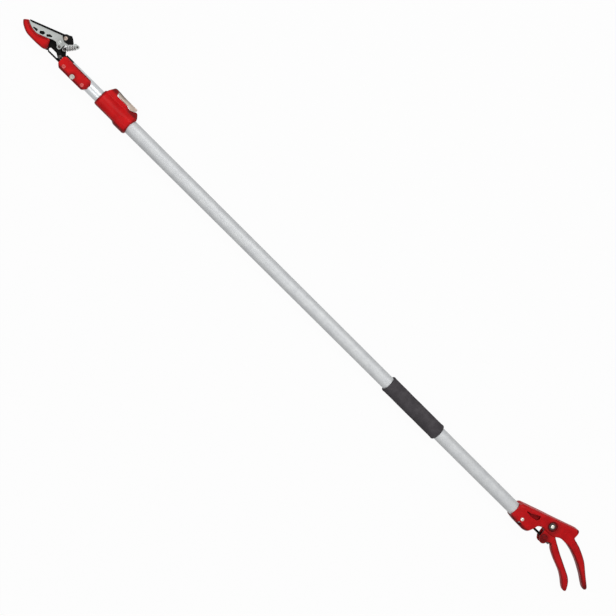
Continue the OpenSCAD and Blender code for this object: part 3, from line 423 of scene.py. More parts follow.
# %% Plates with rounded edges
def cap_faces(loops):
    """Triangles that fill the first outline outside the others: those of a Delaunay mesh on all their edges
    whose middles lie inside an odd number of outlines."""
    flat = np.vstack(loops)
    ends = np.cumsum([len(loop) for loop in loops])
    edges = [(a, a + 1 if a + 1 < end else end - len(loop)) for loop, end in zip(loops, ends)
             for a in range(end - len(loop), end)]
    found = geometry.delaunay_2d_cdt([Vector(p) for p in flat.tolist()], edges, [], 0, 1e-7, True)
    where = np.array([source[0] if source else -1 for source in found[3]])
    triangles = np.array(found[2])
    middle = np.array([tuple(p) for p in found[0]])[triangles].mean(1)
    odd = inside(middle, flat[[a for a, b in edges]], flat[[b for a, b in edges]])
    assert where[triangles[odd]].min() >= 0, "these outlines cross"
    return where[triangles[odd]]


def plate(outline, bottom, top, edge, holes=(), sloped=(), grind=0.0, steps=3):
    """A flat plate: its outline is carried up through rings that follow a quarter circle out at the bottom
    and in at the top. The points named as sloped are ground instead: above the bottom edge they run straight
    in to the top, as far as the width of the grind."""
    loops = [facing(outline, 1)] + [facing(hole, -1) for hole in holes]
    angle = np.linspace(0, np.pi / 2, steps + 1)
    inset = np.concatenate([edge * (1 - np.sin(angle)), edge * (1 - np.sin(angle[::-1]))])
    height = np.concatenate([bottom + edge * (1 - np.cos(angle)), top - edge * (1 - np.cos(angle[::-1]))])
    climb = np.clip(np.arange(len(inset)) - steps, 0, None) / (steps + 1)
    points, curved, starts, count = [], [], [], 0
    for k, loop in enumerate(loops):
        depth, lift = inset[:, None].repeat(len(loop), 1), height[:, None].repeat(len(loop), 1)
        if k == 0 and len(sloped):
            depth[:, sloped] = grind * climb[:, None]
            lift[:, sloped] = np.where(climb > 0, bottom + edge + (top - bottom - edge) * climb, height)[:, None]
        ring = loop[None] + depth[..., None] * inward(loop)[None]
        points.append(np.concatenate([ring, lift[..., None]], 2).reshape(-1, 3))
        curved.append(ring_faces(len(inset), len(loop)) + count)
        starts.append(count + np.arange(len(loop)))
        count += points[-1].shape[0]
    points = np.vstack(points)
    lasts = [start + (len(inset) - 1) * len(loop) for start, loop in zip(starts, loops)]
    top_faces = np.concatenate(lasts)[cap_faces([points[last, :2] for last in lasts])]
    low_faces = np.concatenate(starts)[cap_faces([points[start, :2] for start in starts])]
    return points, curved, [top_faces, low_faces[:, ::-1]]


def sharp(outline, bottom, top):
    """A plate with edges too small to see, for cutting and for what gets a skin later."""
    return plate(outline, bottom, top, edge=0.01)


print("plate tools ready")

# %% [markdown]
# ## Bars, cutters and moulded skins
# A moulded handle has no sharp edge anywhere. It is easiest to build it roughly, from lofted bars and cut-outs,
# and then to pour a skin over it: a fine voxel remesh turns all the parts into one closed surface, and a few
# rounds of smoothing roll every edge over, as the mould's own radii do.

# %% Bars and posts
def lofted(rows, steps=8, corner_steps=5):
    """A bar carried through rows of upper edge x, y, lower edge x, y, half thickness and corner radius. Each
    section is a rounded rectangle that stands on the line between the two edge points."""
    row = smooth_through(rows, steps)
    upper, lower, half, corner = row[:, 0:2], row[:, 2:4], row[:, 4], row[:, 5]
    across = lower - upper
    height = np.linalg.norm(across, axis=1) / 2
    radius = np.minimum(corner, 0.85 * np.minimum(height, half))[:, None]
    quarters = [np.linspace(a, a + 90, corner_steps + 1) for a in (0, 90, 180, 270)]
    angle = np.radians(np.concatenate(quarters))[None]
    side_s = np.repeat([1, -1, -1, 1], corner_steps + 1)[None]
    side_z = np.repeat([1, 1, -1, -1], corner_steps + 1)[None]
    s = side_s * (height[:, None] - radius) + radius * np.cos(angle)
    z = side_z * (half[:, None] - radius) + radius * np.sin(angle)
    middle = (upper + lower) / 2
    flat = middle[:, None] + s[..., None] * (across / (2 * height[:, None]))[:, None]
    return tubular(np.concatenate([flat, z[..., None]], 2).reshape(-1, 3), angle.size)


def rod(x0, x1, radius, at=(0, 0), spokes=64):
    """Round bar along the pole from x0 to x1."""
    return shifted(along_x(turned([(radius, x0), (radius, x1)], spokes)), (0, *at))


def upright(profile, at, spokes=48):
    """Turned piece that stands at a place."""
    return shifted(turned(profile, spokes), (*at, 0))


def post(at, z0, z1, radius, spokes=48):
    """Round bar that stands upright."""
    return upright([(radius, z0), (radius, z1)], at, spokes)


print("bar tools ready")

# %% Cuts and skins
def baked(piece):
    """Swaps a piece's mesh for what its modifiers make of it."""
    whole = piece.evaluated_get(bpy.context.evaluated_depsgraph_get())
    piece.data = bpy.data.meshes.new_from_object(whole)
    piece.modifiers.clear()
    return piece


def shaped(piece, origin, joins=(), cuts=(), keeps=()):
    """Joins shapes to a piece, keeps what lies in others, then cuts others out."""
    tools = []
    for way, shapes in (("UNION", joins), ("INTERSECT", keeps), ("DIFFERENCE", cuts)):
        for shape in shapes:
            tools.append(put("tool", shape, origin))
            change = piece.modifiers.new("change", "BOOLEAN")
            change.operation, change.solver, change.object = way, "EXACT", tools[-1]
    baked(piece)
    for tool in tools:
        mesh = tool.data
        bpy.data.objects.remove(tool)
        bpy.data.meshes.remove(mesh)
    return piece


def skinned(piece, voxel, rounds):
    """Pours one closed skin over a piece and rolls its edges over."""
    skin = piece.modifiers.new("skin", "REMESH")
    skin.mode, skin.voxel_size, skin.use_smooth_shade = "VOXEL", voxel * MM, True
    roll = piece.modifiers.new("roll", "SMOOTH")
    roll.factor, roll.iterations = 0.5, rounds
    print(piece.name, "gets a skin of", voxel, "mm voxels")
    return mark_crests(baked(piece))


print("cut and skin tools ready")

# %% [markdown]
# Wear shows on edges, and painted shade and grime go into corners, recesses and sides. To put them there,
# the script reads a piece's points and the directions they face, works out one number for each point, and writes
# it on the mesh for the paint to read later.

# %% Places for wear, grime and painted shade
def read(owner, name, width, kind=float):
    """One property of every element of a mesh, as rows."""
    values = np.empty(len(owner) * width, kind)
    owner.foreach_get(name, values)
    return values.reshape(-1, width)


def mark_crests(piece, gain=6):
    """Writes how far each point stands out: the mean over its edges of the slope of the edge below the
    point's normal, averaged twice with its neighbours, times a gain that brings worn edges near one."""
    mesh = piece.data
    count = len(mesh.vertices)
    place, normal = read(mesh.vertices, "co", 3), read(mesh.vertex_normals, "vector", 3)
    ends = read(mesh.edges, "vertices", 2, int)
    a, b = np.concatenate([ends, ends[:, ::-1]]).T
    step = place[a] - place[b]
    slope = np.sum(step * normal[a], 1) / np.maximum(np.linalg.norm(step, axis=1), 1e-9)
    share = np.maximum(np.bincount(a, minlength=count), 1)
    crest = np.bincount(a, slope, count) / share
    for _ in range(2):
        crest = 0.5 * crest + 0.5 * np.bincount(a, crest[b], count) / share
    return mark_amounts(piece, gain * crest, name="crest")


def spots_of(piece, origin):
    """Where the piece's points lie along x, y and z, in millimetres from an origin."""
    return (read(piece.data.vertices, "co", 3) / MM - origin).T


def sides_of(piece):
    """How far each point looks sideways: nought where the surface faces straight up or down, one where it
    leans by thirty degrees or more."""
    return rise(np.abs(read(piece.data.vertex_normals, "vector", 3)[:, 2]), 0.99, 0.86)


def distance_to(curve, x, y):
    """Distance in the plane from each spot to the nearest point of a curve."""
    return np.linalg.norm(np.stack([x, y], 1)[:, None] - curve[None], axis=2).min(1)


print("wear tools ready")

# %% [markdown]
# ## Handle
# The real handle is one casting: a socket for the tube, two cheeks that hold the lever's bolt, and a slim fixed
# grip that curves away behind them. One lofted bar follows its outline from the mouth to the tip of the grip.
# The socket, the slot for the lever, the washer seats and the pockets in the cheeks are then cut out.

# %% Handle body
HALF, TUBE_AXIS, SEAT = 18.0, (28.5, 0), 11.2  # half the handle's width, the tube's axis, the washers' seat
BOLT, SCREW = (0, 0), (61, 32.5)
handle_rows = [[84, 10.1, 84, 44, 15.6, 7], [74, 6.9, 74, 45.6, 17.8, 7], [64, 3.6, 65, 46.5, HALF, 7],
               [50, -0.9, 54, 46.5, HALF, 7], [37, -5.2, 43, 46.5, HALF, 7], [29, -7.8, 34, 43, 17.6, 7],
               [23, -9.7, 29.2, 34, 16.6, 7], [18, -11.3, 25, 22.5, 15.6, 6.5], [10, -13.9, 14.5, 16, 14.4, 6],
               [-2, -17.8, 4, 15.6, 14, 6], [-16, -22.3, -10, 15, 14, 6], [-28, -26.2, -20, 12.4, 14, 6],
               [-37, -29.1, -27, 8, 14, 6], [-44, -31.4, -33, 5.4, 13.6, 5], [-49.5, -32, -40, 4.6, 13, 4],
               [-53, -27, -47.5, 4.7, 12, 4], [-55, -15.8, -55, 5, 11, 5], [-68, -11.6, -65, 6.8, 11, 5],
               [-80, -8, -76, 9.6, 11, 5], [-106, 4, -96, 17, 11, 5], [-130, 21.6, -120, 29, 10.6, 5],
               [-145, 32.6, -137, 39.6, 10, 5], [-153, 38.4, -146, 45, 8.6, 4], [-155.6, 42, -152, 46.6, 6, 3]]
lever_slot = stitched(arc(BOLT, 12, 180, 360), [[17.5, 10], [17.5, 40], [-38, 40], [-36, 8]])
notch = [[54.5, 39.5], [63.5, 39.5], [63.5, 60], [54.5, 60]]
cheek_pocket = eased([[68.5, 14.6], [56.7, 11.6], [36.2, 1.7], [33.8, 8], [36, 13.8], [52, 16.8]], 2)
handle_cuts = [rod(39, 90, 14.1, TUBE_AXIS), rod(-1, 40, 5.5, TUBE_AXIS), sharp(lever_slot, -9.3, 9.3),
               sharp(notch, -19, 19), post(BOLT, -19, 19, 3.3), sharp(cheek_pocket, 10, 20),
               sharp(cheek_pocket, -20, -10), post(BOLT, SEAT, 20, 10.5), post(BOLT, -20, -SEAT, 10.5),
               post(SCREW, 17.2, 20, 4.5)]
mouth_plan = [[-180, -60], [80, -60], [80, 9.1], [84, 15.1], [84, 39], [80, 45], [80, 70], [-180, 70]]
handle = shaped(put("handle_casting", lofted(handle_rows), HANDLE), HANDLE, cuts=handle_cuts,
                keeps=[sharp(mouth_plan, -HALF, HALF)])
skinned(handle, voxel=0.7, rounds=5)

# %% [markdown]
# Shade is painted into the handle's colour: in the pockets, in and round the seats of the bolt, on the sides of the
# grip and along the socket's lower rim. The grip's tip and its heel are darkened as well.

# %% Painted shade and dark marks on the handle
x, y, z = spots_of(handle, HANDLE)
# Painted shade: pockets, the bolt's seats and a ring round them, the grip's sides and the lower rim. Tip and heel
# darker.
in_pocket = inside(np.stack([x, y], 1), cheek_pocket, np.roll(cheek_pocket, -1, 0)) & (np.abs(z) < 16.6)
in_seat = (np.hypot(x, y) < 10.9) & (np.abs(z) < 13.4)
round_seat = 0.5 * rise(np.hypot(x + 3, y - 2), 19.95, 9.45)
at_tip = 0.95 * rise(x, -131, -147)
at_heel = 0.9 * rise(np.hypot(x + 49.5, y + 31.5), 6.4, 2.4)
on_sides = 0.65 * sides_of(handle) * rise(x, -46, -60)
on_rim = 0.9 * rise(y, 38, 43) * (x > 10)
dress(mark_amounts(handle, 0.5 * in_pocket, in_seat, round_seat, at_tip, at_heel, on_sides, on_rim), "handle_body")

# %% [markdown]
# ## Squeeze lever
# The lever is a second casting. Its hub turns on the bolt between the cheeks, two lobes below the hub hold the
# trunnion that pulls the rod, and its arm follows the fixed grip at a finger's width. It is made like the
# handle: hub, web, lobes and a lofted arm are joined, then the channel for the rod and the seats are cut.

# %% Lever
lever_rows = [[-20, 8, -14, 24, 8.4, 4], [-28, 13, -28, 28, 8.4, 4], [-42, 20.2, -39, 36.6, 8.4, 4.5],
              [-58, 28.4, -56, 44.6, 8.6, 4.5], [-76, 36.6, -72, 50.4, 9, 4.5], [-92, 43.8, -86, 56, 9, 4.5],
              [-105, 50, -99, 63.6, 9, 4.5], [-115, 57.6, -109, 71.4, 8.4, 4.5], [-123, 68, -117, 76.4, 7, 4],
              [-125.8, 73.6, -122.4, 77, 5, 2.5]]
TRUNNION = np.array([-4.769, 28.5])
LOBE = TRUNNION + [-2.5, 3]
lever_web = [[-11, 0], [-23, 10], [-26, 24], [-9.9, 34.4], [2.9, 30.2], [6.6, 9], [11, 0]]
rod_channel = [[12.5, 18.5], [-8, 18.5], [-31, 13], [-33, 46], [12.5, 46]]
lever = put("squeeze_lever", post(BOLT, -9, 9, 11), HANDLE)
shaped(lever, HANDLE, joins=[sharp(lever_web, -9, 9), post(TRUNNION, -9, 9, 8.5), post(LOBE, -9, 9, 8.5),
                             lofted(lever_rows)],
       cuts=[post(BOLT, -19, 19, 3.3), sharp(rod_channel, -5, 5), post(TRUNNION, -19, 19, 5.2)])
skinned(lever, voxel=0.6, rounds=4)

# %% Painted shade and a dark tip on the lever
x, y = spots_of(lever, HANDLE)[:2]
# Painted shade: the lobes, recessed below the cheeks, and the lever's sides are darkened; its tip is darker too.
shaded_lobe = rise(np.hypot(x - LOBE[0], y - LOBE[1]), 17.55, 4.55)
at_tip = 0.6 * rise(y, 64, 76)
on_sides = sides_of(lever) * np.where(y < 8 - 0.5 * x, 0.8, 0.45)
dress(mark_amounts(lever, shaded_lobe, at_tip, on_sides), "handle_lever")

# %% [markdown]
# ## Bolts, nuts and washers
# A screw head is a turned profile with a socket sunk in it, and a nut is a hexagon whose corners are cut back by
# a cone. Both are grids: the radius of the nut at an angle is the hexagon's, but never more than the cone's at
# that height, which gives the curved edges that a real nut has.

# %% Fastener shapes
CENTRE = 0.05  # radius in millimetres at which a turned outline is shut


def hexagon(flats, z0, z1, bore, chamfer=0.8, rows=5, spokes=72, ease=0.3):
    """Nut with a bore: r = min(flats / 2 / cos of the angle from the nearest flat, cone), the cone being the
    flats' half width at each end and wider by 1.7 times the depth from there."""
    angle = round_angles(spokes)
    rim = flats / 2 / np.cos((angle + np.pi / 6) % (np.pi / 3) - np.pi / 6)
    depth = np.linspace(0, chamfer, rows)
    height = np.concatenate([z0 + depth, z1 - depth[::-1]])[:, None]
    cone = flats / 2 + 1.7 * np.concatenate([depth, depth[::-1]])[:, None]
    hole = np.array([bore + ease, bore, bore, bore + ease])[:, None] + 0 * angle
    hole_z = np.array([z1, z1 - ease, z0 + ease, z0])[:, None]
    r, height = np.vstack([np.minimum(rim, cone), hole]), np.vstack([height, hole_z])
    faces = ring_faces(len(r), spokes, True).reshape(len(r), spokes, 4)
    flat_rows = [rows - 1, 2 * rows - 1, len(r) - 1]
    curved_rows = [k for k in range(len(r)) if k not in flat_rows]
    return radial(r, height, angle), [faces[curved_rows].reshape(-1, 4)], [faces[flat_rows].reshape(-1, 4)]


def dome_profile(radius, base, height, socket=0.0, depth=0.0, steps=8):
    """Half outline of a domed head: a quarter ellipse from its foot to its crown, or to a sunk socket."""
    turn = np.linspace(0, np.pi / 2, steps + 1)
    r, h = radius * np.cos(turn), base + height * (0.2 + 0.8 * np.sin(turn))
    keep = r > max(socket, 0.05 * radius)
    rim = [[radius, base], *np.stack([r, h], 1)[keep].tolist()]
    crown = h[keep][-1]
    if socket:
        return rim + [[socket, crown], [socket * 0.96, crown - depth], [CENTRE, crown - depth]]
    return rim + [[CENTRE, base + height]]


def capped(bottom, shank, head):
    """Outline of a bolt from the eased foot of its shank, up to its head's outline."""
    return [[CENTRE, bottom], [shank - 0.5, bottom], [shank, bottom + 0.5], [shank, head[0][1]], *head]


print("fastener tools ready")

# %% Lever bolt, washers and nut
foot = [[CENTRE, -16.4], [2.3, -16.4], [2.75, -15.9], [2.75, -12.4], [3.25, -12.4], [3.25, 12.4]]
fitted("pivot_bolt", upright(foot + dome_profile(4.25, 12.4, 2.6), BOLT), HANDLE, "lever_pivot_bolt")
washer = [[3.3, SEAT], [6.7, SEAT], [7.0, 11.5], [7.0, 12.1], [6.7, 12.4], [3.3, 12.4]]
washers = merged(turned(washer, 64, True), turned(mirrored(washer), 64, True))
# The washers get an even film of painted shade, as they sit in the shaded seats.
fitted("cheek_washers", washers, HANDLE, "pivot_washers", painted_shade_and_grime=0.6)
fitted("lever_nut", hexagon(11.5, -16.4, -12.4, bore=2.8), HANDLE, "pivot_nut")
slotted = put("slotted_screw", upright(capped(12.5, 2, dome_profile(4, 17.2, 2.6)), SCREW), HANDLE)
driver_slot = sharp([[-5, -0.5], [5, -0.5], [5, 0.5], [-5, 0.5]], 18.8, 21)
dress(shaped(slotted, HANDLE, cuts=[shifted(driver_slot, (*SCREW, 0))]), "socket_screw")

# %% [markdown]
# ## Rod in the handle
# Behind the tube, the rod that runs up the pole is a black threaded stud. Two nuts on it, locked against each
# other, set where the lever takes hold of it. A thread is a cylinder whose radius rises and falls along a
# screw line, so it is one grid of angle and length.

# %% Stud and nuts
def threaded(x0, x1, radius, pitch, depth=0.35, spokes=28, per_turn=6):
    """Threaded bar along the pole: r = radius - depth times the height of a rounded ridge at the phase
    length / pitch + angle / full turn, with both ends drawn in."""
    x = np.linspace(x0, x1, int((x1 - x0) / pitch * per_turn))[:, None]
    angle = round_angles(spokes)
    phase = x / pitch + angle / (2 * np.pi)
    groove = 0.5 + 0.5 * np.cos(2 * np.pi * phase)
    ends = rise(np.minimum(x - x0, x1 - x), 0, 1.2)
    r = (radius - depth * groove) * (0.75 + 0.25 * ends)
    return along_x(tubular(radial(r, x, angle), spokes))


NUT_STOP, NUT_STEP = -58.27, 5.2
stud = merged(threaded(-70.2, -34, radius=2.5, pitch=0.8), rod(-34.5, -14, 2.45), rod(-15, 3, 3.45))
fitted("threaded_stud", stud, POLE, "rod_stud")
nut_pair = [shifted(along_x(hexagon(8, 0, 5, bore=2.55)), (NUT_STOP - NUT_STEP * k, 0, 0)) for k in (1, 2)]
fitted("locked_nuts", merged(*nut_pair), POLE, "adjusting_nuts")
cap = [[5, 9.3], [7.2, 9.3], [7.5, 9.6], [7.5, 10.2], [7.0, 10.6], [4, 10.7], [CENTRE, 10.7]]
# The trunnion's caps get painted shade, as they sit deep between the lever's lobes.
fitted("capped_trunnion", upright(mirrored(cap[::-1]) + cap, TRUNNION), HANDLE, "trunnion", painted_shade_and_grime=0.9)

# %% [markdown]
# ## Tubes
# The lower tube is aluminium that has been blasted and anodised, and the upper one is smooth drawn tube. Each is
# a ring profile swung round the pole's axis, with a small radius at its cut ends. Rings along the length keep
# the faces short, so that the finish has something to follow.

# %% Both tubes
def tube(x0, x1, outer, inner, ring_step=12, lip=0.4, spokes=96):
    """Tube along the pole: outer wall, end lip, inner wall and end lip as one closed profile."""
    wall = np.linspace(x0 + lip, x1 - lip, int((x1 - x0) / ring_step))
    outline = [[inner + lip, x0], [outer - lip, x0], *[[outer, x] for x in wall], [outer - lip, x1],
               [inner + lip, x1], [inner, x1 - lip], [inner, x0 + lip]]
    return along_x(turned(outline, spokes, True))


fitted("lower_tube", tube(-5, 1150, outer=14, inner=12.5), POLE, "outer_tube")
fitted("upper_tube", tube(198, 1258, outer=12, inner=10.5), POLE, "inner_tube")

# %% [markdown]
# ## Foam grip
# The sleeve is closed-cell foam, pushed on over the tube. It gives a little, so its surface is never quite true:
# slow waves run round and along it, its ends are rolled over and slightly flared, and the bore hugs the tube.
# Low waves worked into the radius look more like foam than a cushion simulation would on so stiff a sleeve.

# %% Foam
def foam_sleeve(x0, x1, bore, radius, flare, end=4, rolled=2.2, skin=0.6, spokes=120):
    """Sleeve along the pole: r = radius, plus a flare near each end that rolls over to the bore, plus waves
    of about a tenth of a millimetre that run round and along it at different rates."""
    ease = end * (1 - np.cos(np.linspace(0, np.pi / 2, 8)))[:-1]
    x = np.concatenate([x0 + ease, np.linspace(x0 + end, x1 - end, 150), x1 - ease[::-1]])[:, None]
    angle = round_angles(spokes)
    near = np.minimum(x - x0, x1 - x)
    roll = np.sqrt(np.clip(1 - (1 - rise(near, 0, rolled)) ** 2, 0, 1))
    lip = flare * np.exp(-((near - 2.6) / rolled) ** 2)
    wave = 0.07 * np.sin(x / 9.0 + 3 * angle) + 0.06 * np.sin(x / 5.3 - 4 * angle + 1)
    wave += 0.05 * np.sin(x / 17.0 + angle)
    r = bore + skin + (radius + lip + wave - bore - skin) * (0.45 + 0.55 * roll)
    r, x = np.vstack([r, np.full((2, spokes), bore)]), np.vstack([x, [[x1 - 0.3]], [[x0 + 0.3]]])
    return along_x(tubular(radial(r, x, angle), spokes, True))


sleeve = foam_sleeve(268, 412, bore=14.05, radius=17.2, flare=0.5)
foam = fitted("foam_sleeve", sleeve, POLE, "foam_grip")

# %% [markdown]
# ## Pole clamp
# The clamp is a moulded collar round the end of the lower tube. A deck stands up on one side of it, with a dip
# for a fingertip, and a hood at the front holds the pin of the cam lever. The collar is turned, the deck is a
# plate, and both get one skin like the handle's.

# %% Collar of the clamp
def collar_skin(x0, x1, spokes=96, back=5, front=4):
    """Collar along the pole. Each ring is two half ellipses with the same depth in z: their depth and their
    upper and lower heights slide from the rear collar's to the front collar's, the lower one more steeply,
    and both ends are drawn in."""
    x = np.concatenate([x0 + back * np.linspace(0, 1, 8) ** 2, np.linspace(x0 + back + 1, x1 - front - 1, 60),
                        x1 - front * np.linspace(1, 0, 8) ** 2])[:, None]
    angle = round_angles(spokes)
    ends = 1 - 0.16 * (1 - rise(x, x0, x0 + back)) ** 2 - 0.13 * (1 - rise(x, x1, x1 - front)) ** 2

    def slide(start, end, rear, drop):
        t = rise(x, start, end)
        return (rear - drop * (t * t * (3 - 2 * t))) * ends

    low = slide(1132, 1140, rear=19, drop=3)
    high, deep = slide(1120, 1152, rear=19, drop=1.8), slide(1120, 1152, rear=18.8, drop=1.6)
    y = np.where(np.cos(angle) > 0, low, high) * np.cos(angle)
    return tubular(np.stack([x + 0 * angle, y, deep * np.sin(angle)], -1).reshape(-1, 3), spokes)


collar = collar_skin(1107, 1184)
print("collar", len(collar[0]), "points")

# %% Clamp body
CAM_PIN = (1170, -27.4)
deck = eased([[1182, 0], [1183.4, -12], [1179.6, -21], [1176, -27.4], [1172.5, -30.8], [1169, -31.6], [1165, -31],
              [1163.6, -27], [1163, -23.3], [1138, -23.3], [1133, -21.4], [1126, -21], [1119, -25.6],
              [1116.4, -26.6], [1113.4, -25.2], [1108.4, -19], [1107, -15.6], [1108, 0]], 1.6)
cam_room = stitched(arc(CAM_PIN, 8.2, -90, 180), [[1161, -23.4], [1156, -35.4]])
scoops = [along_x(sharp([[-28, 3.4 * k], [-15.5, 10.5 * k], [-28, 10.5 * k]], 1100, 1132)) for k in (1, -1)]
pad_slot = sharp([[1163.8, -27.4], [1176.2, -27.4], [1176.2, 0], [1163.8, 0]], -6.7, 6.7)
screw_bore = shifted(along_y(turned([(1.55, -30), (1.55, 30)], 24)), (1115, 0, 0))
rim_dip = post((1076.2, 0), -20, 20, 34, 160)
between_flats = sharp([[1100, -30], [1190, -30], [1190, 30], [1100, 30]], -18, 18)
clamp = shaped(put("clamp_collar", collar, POLE), POLE, keeps=[between_flats])
shaped(clamp, POLE, joins=[sharp(deck, -9.5, 9.5)])
shaped(clamp, POLE, cuts=scoops + [rim_dip, rod(1100, 1150, 14.1), rod(1140, 1190, 13.3),
                                   sharp(cam_room, -5.3, 5.3), pad_slot, post(CAM_PIN, -19, 8, 2.55), screw_bore])
skinned(clamp, voxel=0.55, rounds=8)

# %% Painted shade on the clamp
x, y = spots_of(clamp, POLE)[:2]
# Painted shade: the finger scoops, the hood's top, the lower rim and both ends of the collar are darkened.
scooped = 0.9 * rise(y, -15, -17.5) * rise(x, 1140, 1128)
on_hood, beneath = 0.9 * rise(y, -22, -26.5), 0.9 * rise(y, 11.8, 15.8)
at_front, at_rear = 0.75 * rise(x, 1178.6, 1182.6), 0.75 * rise(x, 1114.4, 1110.4)
dress(mark_amounts(clamp, scooped, on_hood, beneath, at_front, at_rear), "clamp_body")

# %% [markdown]
# The cam lever is a strip of steel that lies along the deck and turns on a pin in the hood. From the side it is
# one outline, so it is a plate as wide as the strip, joined to a narrower plate for the neck and a post for the cam.

# %% Clamp lever and pin
CAM = POLE + np.array([*CAM_PIN, 0])
under = [[-20, 3.7], [-32, 3.7], [-38, 4.8], [-43.5, 6.2], [-47, 4.2], [-50, 1], [-51.5, -1]]
over = [[-50.5, -3.8], [-22, -3.8]]
strip = stitched(smooth_through([[-9, 2.9]] + under, 6), smooth_through(over + [[-9, -4.2]], 6))
neck = stitched([[0, -4.8], [2, 0], [-3, 1]], smooth_through([[-8, 0.6]] + under, 6),
                smooth_through(over + [[-8, -4.6]], 6))
lever_strip = put("clamp_strip", plate(strip, -7.5, 7.5, edge=0.7), CAM)
shaped(lever_strip, CAM, joins=[plate(neck, -5, 5, edge=0.5), post((0, 1.2), -5, 5, 6)],
       cuts=[post((0, 0), -9, 9, 2.55)])
x, y = spots_of(lever_strip, CAM)[:2]
# Painted shade: the strip's upper band and its end are darkened.
upper = rise(y, -1.1, -1.9) * (0.3 + 0.7 * rise(x, -46, -20))
dress(mark_amounts(lever_strip, upper, 0.3 * rise(x, -36, -41)), "clamp_lever")
pin = [[CENTRE, -9.2], [2, -9.2], [2.5, -8.7], [2.5, 7.4], [2.1, 7.8], [CENTRE, 7.8]]
fitted("cam_pin", upright(pin, CAM_PIN), POLE, "clamp_pin")

# %% [markdown]
# ## Head bracket
# The bracket that ties the cutting head to the pole is a pressed sleeve with cut corners. Seen from above it is
# a long octagon, and seen along the pole a square with its corners taken off, so it is what the two outlines
# have in common. The tube's bore goes through it, and two bolts and a pinch bolt hold it.

# %% Bracket
TOP, BOLTS, PINCH = 14.5, [(1265, 7.3), (1220, 8.2)], (1242, 10)
bracket_plan = [[1209, -4], [1214, -9], [1273, -9], [1277, -5], [1277, 9], [1270, 15.4], [1216, 15.4], [1209, 8]]
bracket_end = [[-9.1, 12], [-7, TOP], [12.4, TOP], [15.5, 10.5], [15.5, -10.5], [12.4, -TOP], [-7, -TOP],
               [-9.1, -12]]
bracket = put("bracket_sleeve", sharp(eased(bracket_plan, 1.5), -TOP, TOP), POLE)
shaped(bracket, POLE, keeps=[along_x(sharp(eased(bracket_end, 1.5), 1205, 1285))], cuts=[rod(1205, 1285, 12.1)])
skinned(bracket, voxel=0.5, rounds=4)
x, y = spots_of(bracket, POLE)[:2]
# Painted shade: the sleeve's lower, rear and upper rims are darkened; it is also darker round the pinch bolt.
low_rim = 0.9 * rise(y, 8.5, 13) * (1 - 0.65 * rise(y, 14.2, 15))
rear_rim = 0.85 * rise(x, 1219, 1209)
top_rim = 0.8 * rise(y, -4, -8) * rise(x, 1262, 1254)
round_bolt = 0.5 * rise(np.hypot(x - PINCH[0], y - PINCH[1]), 11, 6)
dress(mark_amounts(bracket, low_rim, rear_rim, top_rim, round_bolt), "head_bracket")

# %% Bolts of the bracket
heads = [upright(capped(-17.1, 2, dome_profile(3.7, TOP, 2.2, socket=1.5, depth=1.2)), at, 40) for at in BOLTS]
# The bolts' heads take the enamel's pale pink crest tone all over, a painted highlight.
dress(mark_amounts(put("sleeve_bolts", merged(*heads), POLE), 0.95, name="crest"), "bracket_bolts")
bracket_nuts = [shifted(hexagon(7, -17.1, -TOP, bore=2.05, chamfer=0.5), (*at, 0)) for at in BOLTS]
fitted("sleeve_nuts", merged(*bracket_nuts), POLE, "bracket_nuts")
flange = [[CENTRE, -17.5], [2, -17.5], [2.5, -17], [2.5, TOP], [4.6, TOP], [4.75, 14.8], [4.6, 15.2], [4.2, 15.6],
          [CENTRE, 15.6]]
pinch_head = merged(upright(flange, PINCH), shifted(hexagon(8, 15.4, 17.9, bore=0.4, chamfer=0.6), (*PINCH, 0)))
fitted("pinch_screw", pinch_head, POLE, "pinch_bolt", painted_shade_and_grime=0.4)
pinch_nut = shifted(hexagon(8, -17.5, -TOP, bore=2.55, chamfer=0.6), (*PINCH, 0))
fitted("pinch_hexagon", pinch_nut, POLE, "pinch_nut")

# %% [markdown]
# ## Cutting head
# The head is a stack of flat pieces on one bolt. At the bottom lies the black frame, which is pinned in the
# bracket and carries the red jaw. Above it swing the black carrier and the bright blade that is screwed to it.
# Flat pieces are plates: an outline with its edges rounded a little, as a tumbled stamping has.

# %% Frame
PIVOT, EAR, BLADE_SCREW, RIVET = (0, 0), (-2, 19), (3, 12.5), (-14.7, 31)
SPRING_POST, TAIL_POST, JAW_BOLTS = (-11, 16), (-25, -3.5), [(26, 36.5), (50, 36.5)]
cut_edge = smooth_through([[67.4, 23.4], [60.5, 27.2], [52.5, 29.8], [42, 30.4], [32, 27], [22, 22.6]], 5)
jaw_low = smooth_through([[12.5, 39.5], [18, 42], [30, 43], [47, 43], [56, 41.8], [63, 39], [70.3, 34.5],
                          [74, 30.5]], 5)
frame_edge = stitched([[12, 5], [20.5, 19.5]], cut_edge[::-1] + [-0.6, 1.2], [[68, 26.4]], jaw_low[::-1] + [-4, -2],
                      [[7, 39.4], [-20, 39.4], [-20, 40.4], [-36, 40.4], [-36, 21.6], [-20, 21.6]],
                      arc(SPRING_POST, 4, 190, 350), [[-4.5, 24], [3, 24], [2, 18]], arc(PIVOT, 8.5, 146, 318))
frame_window = stitched(arc((-10.4, 33.2), 3, 90, 270, 8), arc((6.4, 33.2), 3, -90, 90, 8))
fitted("head_stamping", plate(frame_edge, -7.5, -3.5, edge=0.6, holes=[frame_window]), HEAD, "head_frame")

# %% [markdown]
# The jaw is a casting: a low ledge that the blade passes, and a higher rim round it. Both are plates that share the
# curve of the cutting edge and that of the jaw's outer side, under one skin.

